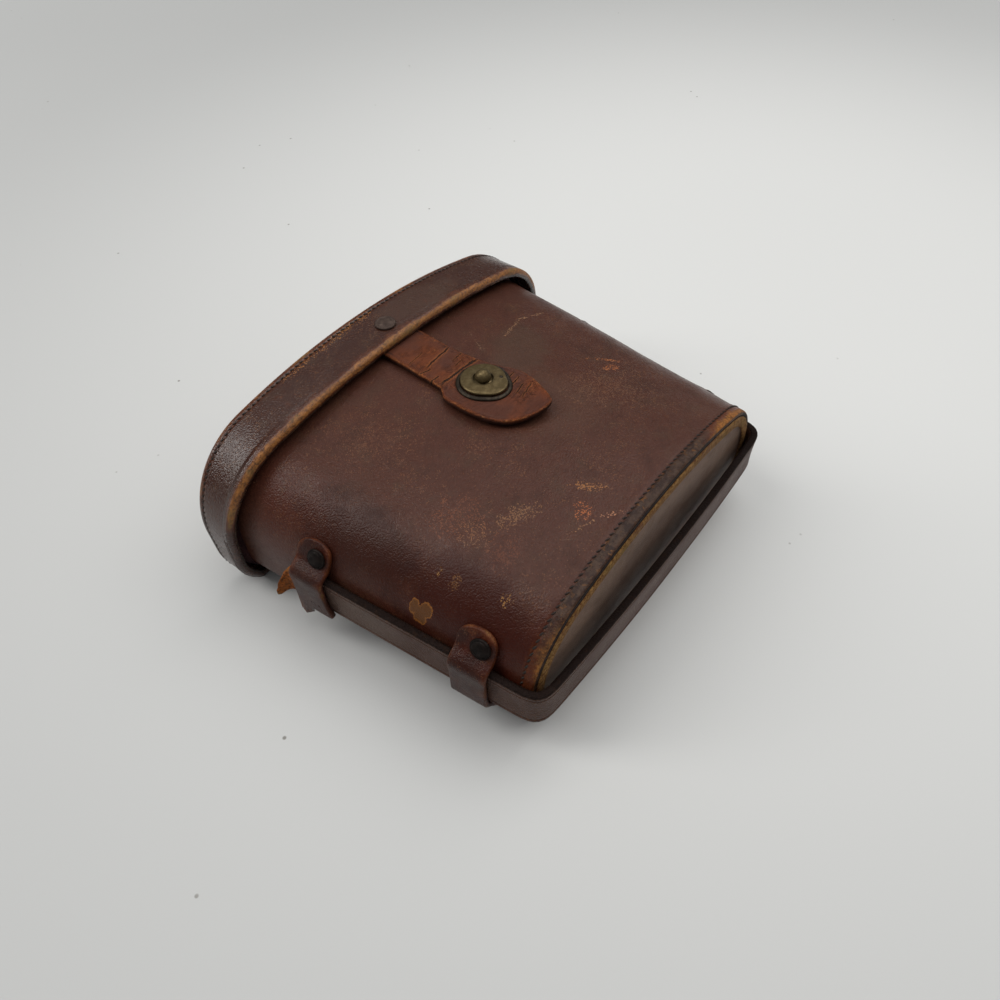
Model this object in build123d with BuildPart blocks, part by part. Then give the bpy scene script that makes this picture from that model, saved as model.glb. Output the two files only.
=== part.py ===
from build123d import *
import os
from math import asin, atan, atan2, cos, degrees, radians, sin, sqrt

os.makedirs("parts", exist_ok=True)

# The case lies on its flat back: +Z out of the bowed front, +Y towards the lid, origin at the middle
# of the back. Every size is in millimetres.

# Leather case
case_length = 126.0
case_depth = 67.0
base_half_width = 74.0
mouth_half_width = 88.8
waist_height = 30.0
front_bow = 6.0
back_corner_radius = 20.0
back_trim = 1.0
wall_thickness = 3.5
shoulder_radius = case_depth - waist_height - front_bow
base_y = -case_length / 2
mouth_y = case_length / 2

# Clearances between pieces of one body, and across a joint
fit_gap = 0.1
rivet_gap = 0.05
moving_gap = 0.5

# Recessed base and top, each a flanged pan sewn into its wall
pan_thickness = 3.0
pan_recess = 1.8
pan_lip = 0.6
base_seam_inset = 4.5
lid_seam_inset = 2.8
stitch_width = 0.8
stitch_depth = 0.6
pad_thickness = 2.0
lining_thickness = 0.9
lining_short = 4.0

# Lid
band_thickness = 3.8
band_gap = 3.2
rim_slope = 0.1
band_width_front = 22.0
top_slope = 0.08

# Hinge of skived leather, let into the backs of the case and the lid
leaf_half_width = 45.0
leaf_thickness = 1.8
case_leaf_length = 20.0
lid_leaf_length = 7.6
leaf_rivet_spacing = 36.0
leaf_rivet_radius = 2.4
leaf_rivet_head = 0.7
leaf_shank_radius = 1.2

# Strap keepers and their rivets
keeper_width = 14.5
keeper_thickness = 2.2
keeper_base_setback = 21.2
keeper_mouth_setback = 38.2
keeper_rivet_shift = -2.0
keeper_leave_rise = 2.0
keeper_rivet_edge = 0.53
keeper_end_margin = 5.95
keeper_back_leave_angle = -24.0
keeper_back_angle = -52.0
keeper_corner_radius = 5.0
back_rivet_angle = -38.0
rivet_radius = 3.8
rivet_head = 1.6
rivet_round = 1.2
shank_radius = 1.5
burr_radius = 3.4
burr_thickness = 0.9
torn_edge = ((-9.0, 8.5), (-5.0, 11.5), (-3.0, 9.5), (-0.5, 14.5), (1.5, 12.5), (4.5, 17.5), (9.0, 15.0))

# Carrying strap
strap_width = 17.5
strap_thickness = 3.0
strap_below_waist = 1.7
strap_gap = 0.4
strap_base_gap = 2.6
strap_bow = 1.9
strap_corner_radius = 5.2
near_tail_setback = 17.0
far_tail_setback = 26.0
tail_slant = 11.5

# Latch tab: its places are measured from the lid's rim, down the front
tab_thickness = 2.5
tab_half_width = 10.4
tab_head_half_width = 15.0
tab_neck_end = 29.5
tab_widest = 47.5
tab_tip = 68.0
tab_tip_shift = 4.0
tab_tip_slope = 0.25
tab_fold = 1.1
root_thickness = 2.4
root_length = 12.4
root_gap = 0.4
tab_rivet_setback = 8.65

# Fastener on the tab
plate_centre = 40.75
plate_radius = 8.6
plate_nose_radius = 6.6
plate_nose_shift = 3.4
plate_edge = 1.1
plate_rise = 2.5
plate_round = 1.3
ring_width = 1.7
ring_thickness = 0.9
clinch_radius = 7.6
clinch_thickness = 0.5
button_radius = 3.05
button_hole_gap = 0.35
button_ball_rise = 0.2
button_flange_radius = 4.8
button_flange_thickness = 0.5
button_flange_gap = 0.15
cavity_radius = 5.2
cavity_height = 1.7
post_radius = 2.2
post_height = 2.8
post_washer_radius = 5.0
slot_side_gap = 0.6
slot_run = 5.2

# Worked out from the sizes above
taper = (mouth_half_width - base_half_width) / case_length
taper_angle = atan(taper)
hinge_y = mouth_y + moving_gap / 2
rim_front_y = hinge_y - rim_slope * case_depth
top_front_y = rim_front_y + band_width_front
rim_half_width = mouth_half_width - taper * (mouth_y - rim_front_y)
band_grow = band_gap + band_thickness
big = 400.0
leaf_reach = 3.0
tab_bottom = case_depth + moving_gap
tab_top = tab_bottom + tab_thickness
tab_end = rim_front_y - tab_fold - rivet_gap
plate_y = rim_front_y - plate_centre
strap_low = waist_height - strap_below_waist - strap_width / 2
strap_high = strap_low + strap_width
keeper_leave_angle = degrees(asin((strap_high + keeper_leave_rise - waist_height) / shoulder_radius))
rivet_angle = keeper_leave_angle + degrees((rivet_radius + keeper_rivet_edge) / shoulder_radius)
keeper_top_angle = rivet_angle + degrees(keeper_end_margin / shoulder_radius)


def half_width_at(y):
    """Half the width of the case at its waist, which grows from the base to the mouth."""
    return base_half_width + taper * (y - base_y)


def section_plane(y):
    """Plane across the case at y: its own axes are the width and the height above the back."""
    return Plane.XZ.offset(-y)


def case_outline(half_width, grow=0.0, below=0.0, mode=Mode.ADD):
    """Cross-section of the case: flat back, round back corners, big shoulders and a bowed front.

    With below, the flat between the corners is drawn that much lower, for a cut to trim it.
    """
    shoulder_x = half_width - shoulder_radius
    rise = case_depth - waist_height
    front_radius = (shoulder_x**2 + rise**2 - shoulder_radius**2) / (2 * (rise - shoulder_radius))
    front_z = case_depth - front_radius
    join = atan2(waist_height - front_z, shoulder_x)
    shoulder = shoulder_radius + grow
    corner_x = half_width - back_corner_radius
    corner = back_corner_radius + grow
    join_point = (shoulder_x + shoulder * cos(join), waist_height + shoulder * sin(join))
    with BuildLine() as outline:
        RadiusArc((0, case_depth + grow), join_point, front_radius + grow)
        RadiusArc(join_point, (half_width + grow, waist_height), shoulder)
        Line((half_width + grow, waist_height), (half_width + grow, back_corner_radius))
        RadiusArc((half_width + grow, back_corner_radius), (corner_x, -grow), corner)
        if below:
            Polyline((corner_x, -grow), (corner_x, -grow - below), (0, -grow - below))
        else:
            Line((corner_x, -grow), (0, -grow))
        mirror(about=Plane.YZ)
    make_face(outline.edges(), mode=mode)


def case_block(y_from, y_to, grow, below=0.0, mode=Mode.ADD):
    """Solid between two cross-sections of the tapered case, all grown by the same amount."""
    sections = []
    for y in (y_from, y_to):
        with BuildSketch(section_plane(y)) as section:
            case_outline(half_width_at(y), grow, below)
        sections.append(section.sketch)
    loft(sections, ruled=True, mode=mode)


def lid_outline(grow, floor=0.0):
    """Cross-section of the lid: the case's outline at the rim, grown, and cut flat at the back."""
    case_outline(rim_half_width, grow)
    with Locations((0, floor + big / 2)):
        Rectangle(big, big, mode=Mode.INTERSECT)


def lid_block(grow, floor=0.0, end=top_front_y + band_width_front, mode=Mode.ADD):
    """Straight solid with the lid's cross-section; it runs past both ends of the lid by default."""
    start = rim_front_y - band_width_front
    with BuildSketch(section_plane(start)) as section:
        lid_outline(grow, floor)
    extrude(section.sketch, amount=start - end, mode=mode)


def top_plane(inset):
    """Sloped plane below the lid's top by the inset, facing out of the lid."""
    return Plane(origin=(0, top_front_y - inset, case_depth), x_dir=(1, 0, 0), z_dir=(0, 1, -top_slope))


def keep_between(lower, upper):
    """Keeps what lies between two insets below the lid's top."""
    split(bisect_by=top_plane(lower), keep=Keep.TOP)
    split(bisect_by=top_plane(upper), keep=Keep.BOTTOM)


def side_plane(side, y):
    """Plane across a keeper on one side: its own x points out of the case and its own y is up."""
    out = Vector(side * cos(taper_angle), -sin(taper_angle), 0)
    return Plane(
        origin=(side * half_width_at(y), y, 0), x_dir=out, z_dir=out.cross(Vector(0, 0, 1))
    )


def wall_point(angle, out=0.0):
    """Point on the keeper's side plane, out from the wall's shoulder or its back corner."""
    turn = radians(angle)
    radius = shoulder_radius if angle > 0 else back_corner_radius
    height = waist_height if angle > 0 else back_corner_radius
    return (radius * (cos(turn) - 1) + out * cos(turn), height + (radius + out) * sin(turn))


def rivet_plane(side, y, angle):
    """Plane on the wall's outer face at a rivet, facing straight out of the leather."""
    turn = radians(angle)
    x, z = wall_point(angle)
    base = side_plane(side, y)
    return Plane(
        origin=base.from_local_coords((x, z, 0)),
        x_dir=base.z_dir,
        z_dir=base.x_dir * cos(turn) + Vector(0, 0, sin(turn)),
    )


def bore(plane, radius, near, far):
    """Round hole along a plane's axis, between two distances from the plane."""
    with BuildSketch(plane.offset(near)) as hole:
        Circle(radius)
    extrude(hole.sketch, amount=far - near, mode=Mode.SUBTRACT)


def egg(grow, mode=Mode.ADD):
    """Egg shape of the fastener, with its narrow end towards the tab's tip."""
    big_radius = plate_radius + grow
    nose_radius = plate_nose_radius + grow
    lean = (big_radius - nose_radius) / plate_nose_shift
    side = sqrt(1 - lean**2)
    with BuildLine() as outline:
        ThreePointArc(
            (big_radius * side, -big_radius * lean),
            (0, big_radius),
            (-big_radius * side, -big_radius * lean),
        )
        Line(
            (-big_radius * side, -big_radius * lean),
            (-nose_radius * side, -plate_nose_shift - nose_radius * lean),
        )
        ThreePointArc(
            (-nose_radius * side, -plate_nose_shift - nose_radius * lean),
            (0, -plate_nose_shift - nose_radius),
            (nose_radius * side, -plate_nose_shift - nose_radius * lean),
        )
        Line(
            (nose_radius * side, -plate_nose_shift - nose_radius * lean),
            (big_radius * side, -big_radius * lean),
        )
    make_face(outline.edges(), mode=mode)


def fastener_plane(z):
    """Level plane at height z over the catch post, with the fastener's centre at its origin."""
    return Plane(origin=(0, plate_y, z))


def slot_outline(grow=0.0, mode=Mode.ADD):
    """Slot for the catch post: it runs towards the tab's tip, so the tab can leave at a slant."""
    radius = post_radius + slot_side_gap + grow
    with Locations((0, -slot_run / 2)):
        SlotCenterToCenter(slot_run, 2 * radius, rotation=90, mode=mode)


def save(piece, name):
    """Labels a finished piece and writes it to its own file."""
    piece.part.label = name
    export_step(piece.part, f"parts/{name}.step")


keeper_places = (("base", base_y + keeper_base_setback), ("lid", mouth_y - keeper_mouth_setback))
keepers = [
    (f"{side_name}_{end}", side, keeper_y)
    for side_name, side in (("near", -1), ("far", 1))
    for end, keeper_y in keeper_places
]
torn_keeper = "near_lid"
keeper_rivets = []
for keeper_name, side, keeper_y in keepers:
    rivet_y = keeper_y + keeper_rivet_shift
    keeper_rivets.append((f"{keeper_name}_front", rivet_plane(side, rivet_y, rivet_angle)))
    if keeper_name != torn_keeper:
        back_plane = rivet_plane(side, rivet_y, back_rivet_angle)
        keeper_rivets.append((f"{keeper_name}_back", back_plane))

case_leaf_y = mouth_y - case_leaf_length / 2
lid_leaf_start = mouth_y + moving_gap
lid_leaf_y = lid_leaf_start + lid_leaf_length / 2
leaf_rivets = [
    (f"{body}_{place}", Plane(origin=(x, y, 0), z_dir=(0, 0, -1)))
    for body, y in (("case", case_leaf_y), ("lid", lid_leaf_y))
    for place, x in (("near", -leaf_rivet_spacing), ("middle", 0.0), ("far", leaf_rivet_spacing))
]
post_plane = Plane(origin=(0, plate_y, case_depth))

# Wall of the case: one leather sheet wrapped round and closed, open at the mouth and the base
with BuildPart() as wall_inside:
    case_block(base_y - pan_recess, mouth_y + pan_recess, -wall_thickness, below=back_trim)
    split(bisect_by=Plane.XY.offset(wall_thickness), keep=Keep.TOP)
with BuildPart() as case_wall:
    case_block(base_y, mouth_y, 0.0, below=back_trim)
    split(bisect_by=Plane.XY, keep=Keep.TOP)
    add(wall_inside.part, mode=Mode.SUBTRACT)
    with Locations((0, case_leaf_y + leaf_reach / 2, 0)):
        Box(
            2 * (leaf_half_width + fit_gap),
            case_leaf_length + leaf_reach + fit_gap,
            2 * (leaf_thickness + fit_gap),
            mode=Mode.SUBTRACT,
        )
    groove_y = base_y + base_seam_inset
    with BuildSketch(section_plane(groove_y - stitch_width / 2)):
        case_outline(half_width_at(groove_y), stitch_width)
        case_outline(half_width_at(groove_y), -stitch_depth, mode=Mode.SUBTRACT)
    extrude(amount=-stitch_width, mode=Mode.SUBTRACT)
    burr_seat = burr_thickness + fit_gap - wall_thickness
    for _, plane in keeper_rivets:
        bore(plane, shank_radius + rivet_gap, -2 * wall_thickness, wall_thickness)
        bore(plane, burr_radius + fit_gap, -2 * wall_thickness, burr_seat)
    for name, plane in leaf_rivets:
        bore(plane, leaf_shank_radius + rivet_gap, -2 * wall_thickness, wall_thickness)
    bore(post_plane, post_radius + rivet_gap, -2 * wall_thickness, wall_thickness)
    bore(post_plane, post_washer_radius + fit_gap, -2 * wall_thickness, burr_seat)
save(case_wall, "case_wall")

# Base: a leather pan, its flange turned outwards against the inside of the wall
with BuildPart() as base_pan:
    pan_in = base_y + pan_recess + pan_thickness
    case_block(base_y - pan_lip, pan_in, -wall_thickness - fit_gap)
    recess_grow = -wall_thickness - pan_thickness
    case_block(base_y - 2 * pan_recess, base_y + pan_recess, recess_grow, mode=Mode.SUBTRACT)
save(base_pan, "base_pan")

# Seam that holds the base: waxed thread laid in a groove round the wall
with BuildPart() as base_seam:
    with BuildSketch(section_plane(groove_y - stitch_width / 2 + fit_gap)):
        case_outline(half_width_at(groove_y), -fit_gap)
        case_outline(half_width_at(groove_y), fit_gap - stitch_depth, mode=Mode.SUBTRACT)
    extrude(amount=2 * fit_gap - stitch_width)
save(base_seam, "base_seam")

# Felt pad on the base, inside
with BuildPart() as base_pad:
    pad_start = pan_in + fit_gap
    case_block(pad_start, pad_start + pad_thickness, -wall_thickness - fit_gap)
save(base_pad, "base_pad")

# Cloth lining glued to the inside of the wall
with BuildPart() as wall_lining:
    lining_start = pad_start + pad_thickness + fit_gap
    lining_grow = -wall_thickness - fit_gap
    case_block(lining_start, mouth_y - lining_short, lining_grow)
    lining_in = lining_grow - lining_thickness
    case_block(lining_start - pan_recess, mouth_y, lining_in, mode=Mode.SUBTRACT)
save(wall_lining, "wall_lining")

# Lid band: a leather hoop that laps the mouth at the front and the sides and closes the back above it
with BuildPart() as lid_band:
    lid_block(band_grow)
    lid_block(band_gap, floor=band_thickness, mode=Mode.SUBTRACT)
    lid_block(band_gap, floor=-band_grow, end=lid_leaf_start, mode=Mode.SUBTRACT)
    rim_plane = Plane(origin=(0, hinge_y, 0), x_dir=(1, 0, 0), z_dir=(0, 1, rim_slope))
    split(bisect_by=rim_plane, keep=Keep.TOP)
    split(bisect_by=top_plane(0), keep=Keep.BOTTOM)
    with Locations((0, lid_leaf_y - leaf_reach / 2, 0)):
        Box(
            2 * (leaf_half_width + fit_gap),
            lid_leaf_length + leaf_reach + fit_gap,
            2 * (leaf_thickness + fit_gap),
            mode=Mode.SUBTRACT,
        )
    for name, plane in leaf_rivets:
        bore(plane, leaf_shank_radius + rivet_gap, -2 * band_thickness, band_thickness)
    tab_rivet_y = rim_front_y + tab_rivet_setback
    tab_rivet_plane = Plane(origin=(0, tab_rivet_y, case_depth + band_grow))
    bore(tab_rivet_plane, shank_radius + rivet_gap, -2 * band_thickness, band_thickness)
with BuildPart() as lid_groove:
    lid_block(band_grow + stitch_width)
    lid_block(band_grow - stitch_depth, floor=-band_grow, mode=Mode.SUBTRACT)
    keep_between(lid_seam_inset + stitch_width / 2, lid_seam_inset - stitch_width / 2)
with BuildPart() as lid_hoop:
    add(lid_band.part)
    add(lid_groove.part, mode=Mode.SUBTRACT)
save(lid_hoop, "lid_band")

# Seam that holds the lid's top: it runs round the front and the sides, and stops at the back
with BuildPart() as lid_seam:
    lid_block(band_grow - fit_gap, floor=fit_gap)
    lid_block(band_grow + fit_gap - stitch_depth, floor=-band_grow, mode=Mode.SUBTRACT)
    half_stitch = stitch_width / 2 - fit_gap
    keep_between(lid_seam_inset + half_stitch, lid_seam_inset - half_stitch)
save(lid_seam, "lid_seam")

# Top of the lid: a leather pan like the base, its lip just past the band
with BuildPart() as lid_recess:
    lid_block(band_gap - pan_thickness, floor=band_thickness + pan_thickness)
    keep_between(pan_recess, -2 * pan_recess)
with BuildPart() as lid_pan:
    lid_block(band_gap - fit_gap, floor=band_thickness + fit_gap)
    keep_between(pan_recess + pan_thickness, -pan_lip)
    add(lid_recess.part, mode=Mode.SUBTRACT)
save(lid_pan, "lid_pan")

# Felt pad under the lid's top
with BuildPart() as lid_pad:
    lid_block(band_gap - fit_gap, floor=band_thickness + fit_gap)
    pad_top = pan_recess + pan_thickness + fit_gap
    keep_between(pad_top + pad_thickness, pad_top)
save(lid_pad, "lid_pad")

# Hinge: a broad strip of thinned leather, one leaf in each back, that folds along the mouth
leaves = (("case", case_leaf_y, case_leaf_length), ("lid", lid_leaf_y, lid_leaf_length))
for body, leaf_y, leaf_length in leaves:
    with BuildPart() as hinge_leaf:
        with BuildSketch(Plane.XY):
            with Locations((0, leaf_y)):
                Rectangle(2 * leaf_half_width, leaf_length - fit_gap)
        extrude(amount=leaf_thickness)
        for name, plane in leaf_rivets:
            bore(plane, leaf_shank_radius + rivet_gap, -2 * leaf_thickness, leaf_thickness)
            bore(plane, leaf_rivet_radius + fit_gap, -leaf_rivet_head - fit_gap, leaf_thickness)
    save(hinge_leaf, f"hinge_leaf_{body}")

# Flush rivets of the hinge leaves
for name, plane in leaf_rivets:
    leaf_wall = wall_thickness if name.startswith("case") else band_thickness
    with BuildPart() as leaf_rivet:
        with BuildSketch(plane.offset(-leaf_rivet_head)):
            Circle(leaf_rivet_radius)
        extrude(amount=leaf_rivet_head - fit_gap)
        with BuildSketch(plane.offset(-leaf_wall)):
            Circle(leaf_shank_radius)
        extrude(amount=leaf_wall - fit_gap)
    save(leaf_rivet, f"hinge_rivet_{name}")

# Strap keepers: leather loops over the strap, riveted above and below it
strap_out = strap_gap + strap_thickness + fit_gap
sleeves = []
for sleeve_grow in (keeper_thickness, 0.0):
    with BuildSketch() as sleeve:
        with Locations((-shoulder_radius, waist_height)):
            Circle(shoulder_radius + fit_gap)
        with Locations((-back_corner_radius, back_corner_radius)):
            Circle(back_corner_radius + fit_gap)
        with BuildLine():
            Polyline(
                wall_point(keeper_leave_angle, fit_gap),
                (strap_out, strap_high + fit_gap),
                (strap_out, strap_low - fit_gap),
                wall_point(keeper_back_leave_angle, fit_gap),
                (-back_corner_radius, back_corner_radius),
                (-shoulder_radius, waist_height),
                close=True,
            )
        make_face()
        if sleeve_grow:
            offset(amount=sleeve_grow, kind=Kind.ARC)
    sleeves.append(sleeve.sketch)
for keeper_name, side, keeper_y in keepers:
    with BuildPart() as keeper:
        with BuildSketch(side_plane(side, keeper_y)):
            add(sleeves[0])
            add(sleeves[1], mode=Mode.SUBTRACT)
            with BuildLine():
                Polyline(
                    (-shoulder_radius, waist_height),
                    wall_point(keeper_top_angle, 3 * keeper_thickness),
                    (big, big),
                    (big, -big),
                    wall_point(keeper_back_angle, 3 * keeper_thickness),
                    (-back_corner_radius, back_corner_radius),
                    close=True,
                )
            make_face(mode=Mode.INTERSECT)
        extrude(amount=keeper_width / 2, both=True)
        ends = keeper.edges().filter_by(lambda edge: abs(edge.length - keeper_thickness) < rivet_gap)
        ends = ends.filter_by(lambda edge: edge.center().Z > strap_high or edge.center().Z < strap_low)
        fillet(ends, keeper_corner_radius)
        if keeper_name == torn_keeper:
            flat = side_plane(side, keeper_y)
            face_on = Plane(origin=flat.origin, x_dir=-flat.z_dir, z_dir=flat.x_dir)
            with BuildSketch(face_on):
                with BuildLine():
                    Polyline(*torn_edge, (torn_edge[-1][0], -big), (torn_edge[0][0], -big), close=True)
                make_face()
            extrude(amount=keeper_width, both=True, mode=Mode.SUBTRACT)
        for rivet_name, plane in keeper_rivets:
            if rivet_name.startswith(keeper_name):
                bore(plane, shank_radius + rivet_gap, -keeper_thickness, 2 * keeper_thickness)
    save(keeper, f"keeper_{keeper_name}")

# Keeper rivets and the burrs that they are set over inside the wall
for rivet_name, plane in keeper_rivets:
    with BuildPart() as rivet:
        with BuildSketch(plane.offset(fit_gap + keeper_thickness + fit_gap)):
            Circle(rivet_radius)
        extrude(amount=rivet_head)
        fillet(rivet.faces().sort_by(Axis(plane.origin, plane.z_dir))[-1].edges(), rivet_round)
        with BuildSketch(plane.offset(-wall_thickness)):
            Circle(shank_radius)
        extrude(amount=wall_thickness + keeper_thickness + 2 * fit_gap)
    save(rivet, f"rivet_{rivet_name}")
    with BuildPart() as burr:
        with BuildSketch(plane.offset(-wall_thickness)):
            Circle(burr_radius)
            Circle(shank_radius + rivet_gap, mode=Mode.SUBTRACT)
        extrude(amount=burr_thickness)
    save(burr, f"burr_{rivet_name}")

# Carrying strap: runs through the keepers and round the base, both ends cut off
with BuildPart() as strap:
    with BuildSketch(Plane.XY.offset(strap_low)) as strap_section:
        strap_mid = strap_gap + strap_thickness / 2
        corner_y = base_y - strap_base_gap - strap_thickness / 2
        tails = [
            (side * (half_width_at(mouth_y - setback) + strap_mid), mouth_y - setback)
            for side, setback in ((-1, near_tail_setback), (1, far_tail_setback))
        ]
        corners = [(side * (half_width_at(corner_y) + strap_mid), corner_y) for side in (-1, 1)]
        with BuildLine() as strap_path:
            Line(tails[0], corners[0])
            ThreePointArc(corners[0], (0, corner_y - strap_bow), corners[1])
            Line(corners[1], tails[1])
            bends = strap_path.vertices().sort_by(Axis.Y)[:2]
            fillet(bends, strap_corner_radius)
            offset(amount=strap_thickness / 2, side=Side.BOTH, closed=True)
        make_face()
    extrude(amount=strap_width)
    tip_y = mouth_y - near_tail_setback - strap_thickness / 2
    with BuildSketch(Plane.YZ):
        with BuildLine():
            Polyline(
                (tip_y, strap_low - fit_gap),
                (tip_y - tail_slant, strap_high),
                (tip_y + tail_slant, strap_high),
                (tip_y + tail_slant, strap_low - fit_gap),
                close=True,
            )
        make_face()
    extrude(amount=-big, mode=Mode.SUBTRACT)
save(strap, "carrying_strap")

# Root of the latch tab, riveted up inside the band
with BuildPart() as tab_root:
    root_bottom = case_depth + root_gap
    with BuildSketch(Plane.XY.offset(root_bottom)):
        with Locations((0, rim_front_y + root_length / 2)):
            Rectangle(2 * tab_half_width, root_length)
    extrude(amount=root_thickness)
    bore(tab_rivet_plane, shank_radius + rivet_gap, -3 * band_grow, 0)
save(tab_root, "tab_root")

# Rivet through the band and the tab's root
with BuildPart() as tab_rivet:
    with BuildSketch(tab_rivet_plane.offset(fit_gap)):
        Circle(rivet_radius)
    extrude(amount=rivet_head)
    fillet(tab_rivet.faces().sort_by(Axis.Z)[-1].edges(), rivet_round)
    with BuildSketch(Plane(origin=(0, tab_rivet_y, root_bottom))):
        Circle(shank_radius)
    extrude(until=Until.NEXT)
save(tab_rivet, "tab_rivet")

# Latch tab: a leather tongue that hinges at the rim and carries the fastener
with BuildPart() as latch_tab:
    neck_y = rim_front_y - tab_neck_end
    with BuildSketch(Plane.XY.offset(tab_bottom)):
        with BuildLine():
            Polyline(
                (-tab_half_width, neck_y),
                (-tab_half_width, tab_end),
                (tab_half_width, tab_end),
                (tab_half_width, neck_y),
            )
            for side in (-1, 1):
                Spline(
                    (side * tab_half_width, neck_y),
                    (side * tab_head_half_width, rim_front_y - tab_widest),
                    (tab_tip_shift, rim_front_y - tab_tip),
                    tangents=[(0, -1), (-side, -tab_tip_slope)],
                )
        make_face()
    extrude(amount=tab_thickness)
    with BuildSketch(fastener_plane(tab_bottom)):
        slot_outline()
    extrude(amount=tab_thickness, mode=Mode.SUBTRACT)
    with BuildSketch(fastener_plane(tab_bottom)):
        with Locations((0, -slot_run / 2)):
            Circle(clinch_radius + fit_gap)
    extrude(amount=clinch_thickness + fit_gap, mode=Mode.SUBTRACT)
save(latch_tab, "latch_tab")

# Clinch plate: the washer under the leather that the brass plate is set against
with BuildPart() as clinch_plate:
    with BuildSketch(fastener_plane(tab_bottom)):
        with Locations((0, -slot_run / 2)):
            Circle(clinch_radius)
        slot_outline(fit_gap, mode=Mode.SUBTRACT)
    extrude(amount=clinch_thickness)
save(clinch_plate, "clinch_plate")

# Back ring of the fastener, round the plate
with BuildPart() as fastener_ring:
    with BuildSketch(fastener_plane(tab_top + fit_gap)):
        egg(ring_width)
        egg(fit_gap, mode=Mode.SUBTRACT)
    extrude(amount=ring_thickness)
save(fastener_ring, "fastener_ring")

# Brass plate: egg-shaped and domed, with a round hole for the button
with BuildPart() as fastener_plate:
    with BuildSketch(fastener_plane(tab_top + fit_gap)):
        egg(0)
    extrude(amount=plate_rise - fit_gap)
    fillet(fastener_plate.faces().sort_by(Axis.Z)[-1].edges(), plate_round)
    with BuildSketch(fastener_plane(tab_top)):
        Circle(cavity_radius)
    extrude(amount=cavity_height, mode=Mode.SUBTRACT)
    with BuildSketch(fastener_plane(tab_top)):
        Circle(button_radius + button_hole_gap)
    extrude(amount=2 * plate_rise, mode=Mode.SUBTRACT)
save(fastener_plate, "fastener_plate")

# Release button: a ball head on a stem, kept in by a flange under the plate
with BuildPart() as release_button:
    flange_top = tab_top + cavity_height - button_flange_gap
    with BuildSketch(fastener_plane(flange_top - button_flange_thickness)):
        Circle(button_flange_radius)
    extrude(amount=button_flange_thickness)
    ball_z = tab_top + plate_rise + button_ball_rise
    with BuildSketch(fastener_plane(flange_top)):
        Circle(button_radius)
    extrude(amount=ball_z - flange_top)
    with Locations((0, plate_y, ball_z)):
        Sphere(button_radius, arc_size1=0)
save(release_button, "release_button")

# Spring washer that lifts the button
with BuildPart() as button_spring:
    spring_bottom = tab_top + rivet_gap
    spring_top = flange_top - button_flange_thickness - rivet_gap
    with BuildSketch(fastener_plane(spring_bottom)):
        Circle(button_flange_radius)
        Circle(button_radius, mode=Mode.SUBTRACT)
    extrude(amount=spring_top - spring_bottom)
save(button_spring, "button_spring")

# Catch post on the front of the case, and its washer inside the wall
with BuildPart() as catch_post:
    with BuildSketch(post_plane.offset(-wall_thickness)):
        Circle(post_radius)
    extrude(amount=wall_thickness + post_height)
save(catch_post, "catch_post")
with BuildPart() as post_washer:
    with BuildSketch(post_plane.offset(-wall_thickness)):
        Circle(post_washer_radius)
        Circle(post_radius + rivet_gap, mode=Mode.SUBTRACT)
    extrude(amount=burr_thickness)
save(post_washer, "post_washer")
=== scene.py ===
import bpy
from math import asin, atan, atan2, cos, pi, radians, sin, sqrt
from mathutils import Matrix, Vector


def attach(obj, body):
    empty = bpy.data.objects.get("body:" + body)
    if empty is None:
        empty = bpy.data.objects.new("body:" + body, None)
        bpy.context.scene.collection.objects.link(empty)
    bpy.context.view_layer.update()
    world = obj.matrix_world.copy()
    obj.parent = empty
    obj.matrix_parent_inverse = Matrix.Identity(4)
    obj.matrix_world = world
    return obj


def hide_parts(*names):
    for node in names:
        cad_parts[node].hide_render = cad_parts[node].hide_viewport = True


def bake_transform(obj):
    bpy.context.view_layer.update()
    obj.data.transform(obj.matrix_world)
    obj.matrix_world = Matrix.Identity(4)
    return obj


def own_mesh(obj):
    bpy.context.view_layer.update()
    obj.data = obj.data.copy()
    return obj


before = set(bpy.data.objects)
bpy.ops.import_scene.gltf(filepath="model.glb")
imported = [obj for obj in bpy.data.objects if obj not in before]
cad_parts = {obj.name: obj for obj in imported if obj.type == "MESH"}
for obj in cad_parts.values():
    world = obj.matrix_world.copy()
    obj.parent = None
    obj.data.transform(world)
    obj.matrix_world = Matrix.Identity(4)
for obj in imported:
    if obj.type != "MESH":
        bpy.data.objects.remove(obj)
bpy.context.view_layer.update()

camera_turn = radians(-50.9)
camera_rise = radians(49.65)
camera_roll = radians(-1.02)
camera_distance = 0.29705
aim = Vector((-0.012635, -0.001472, 0.02713))
back = Vector((sin(camera_turn) * cos(camera_rise), -cos(camera_turn) * cos(camera_rise), sin(camera_rise)))
level_right = Vector((cos(camera_turn), sin(camera_turn), 0))
level_up = back.cross(level_right)
right = cos(camera_roll) * level_right + sin(camera_roll) * level_up
up = cos(camera_roll) * level_up - sin(camera_roll) * level_right
axes = Matrix((right, up, back)).transposed().to_4x4()
lens = bpy.data.cameras.new("camera")
lens.sensor_width = 36
lens.lens = 27.036
lens.clip_start = 0.01
camera = bpy.data.objects.new("camera", lens)
camera.matrix_world = Matrix.Translation(aim + camera_distance * back) @ axes
bpy.context.scene.collection.objects.link(camera)
bpy.context.scene.camera = camera
bpy.context.scene.view_settings.view_transform = "Standard"

# ---------------------------------------------------------------------------------------------
# Table and light. White card lies under the case and runs off into a pale backdrop. A broad soft
# lamp hangs over the far side, a narrow window stands beyond the lid's near end, and the pale room
# fills the shadows.
# ---------------------------------------------------------------------------------------------
import bmesh

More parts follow.
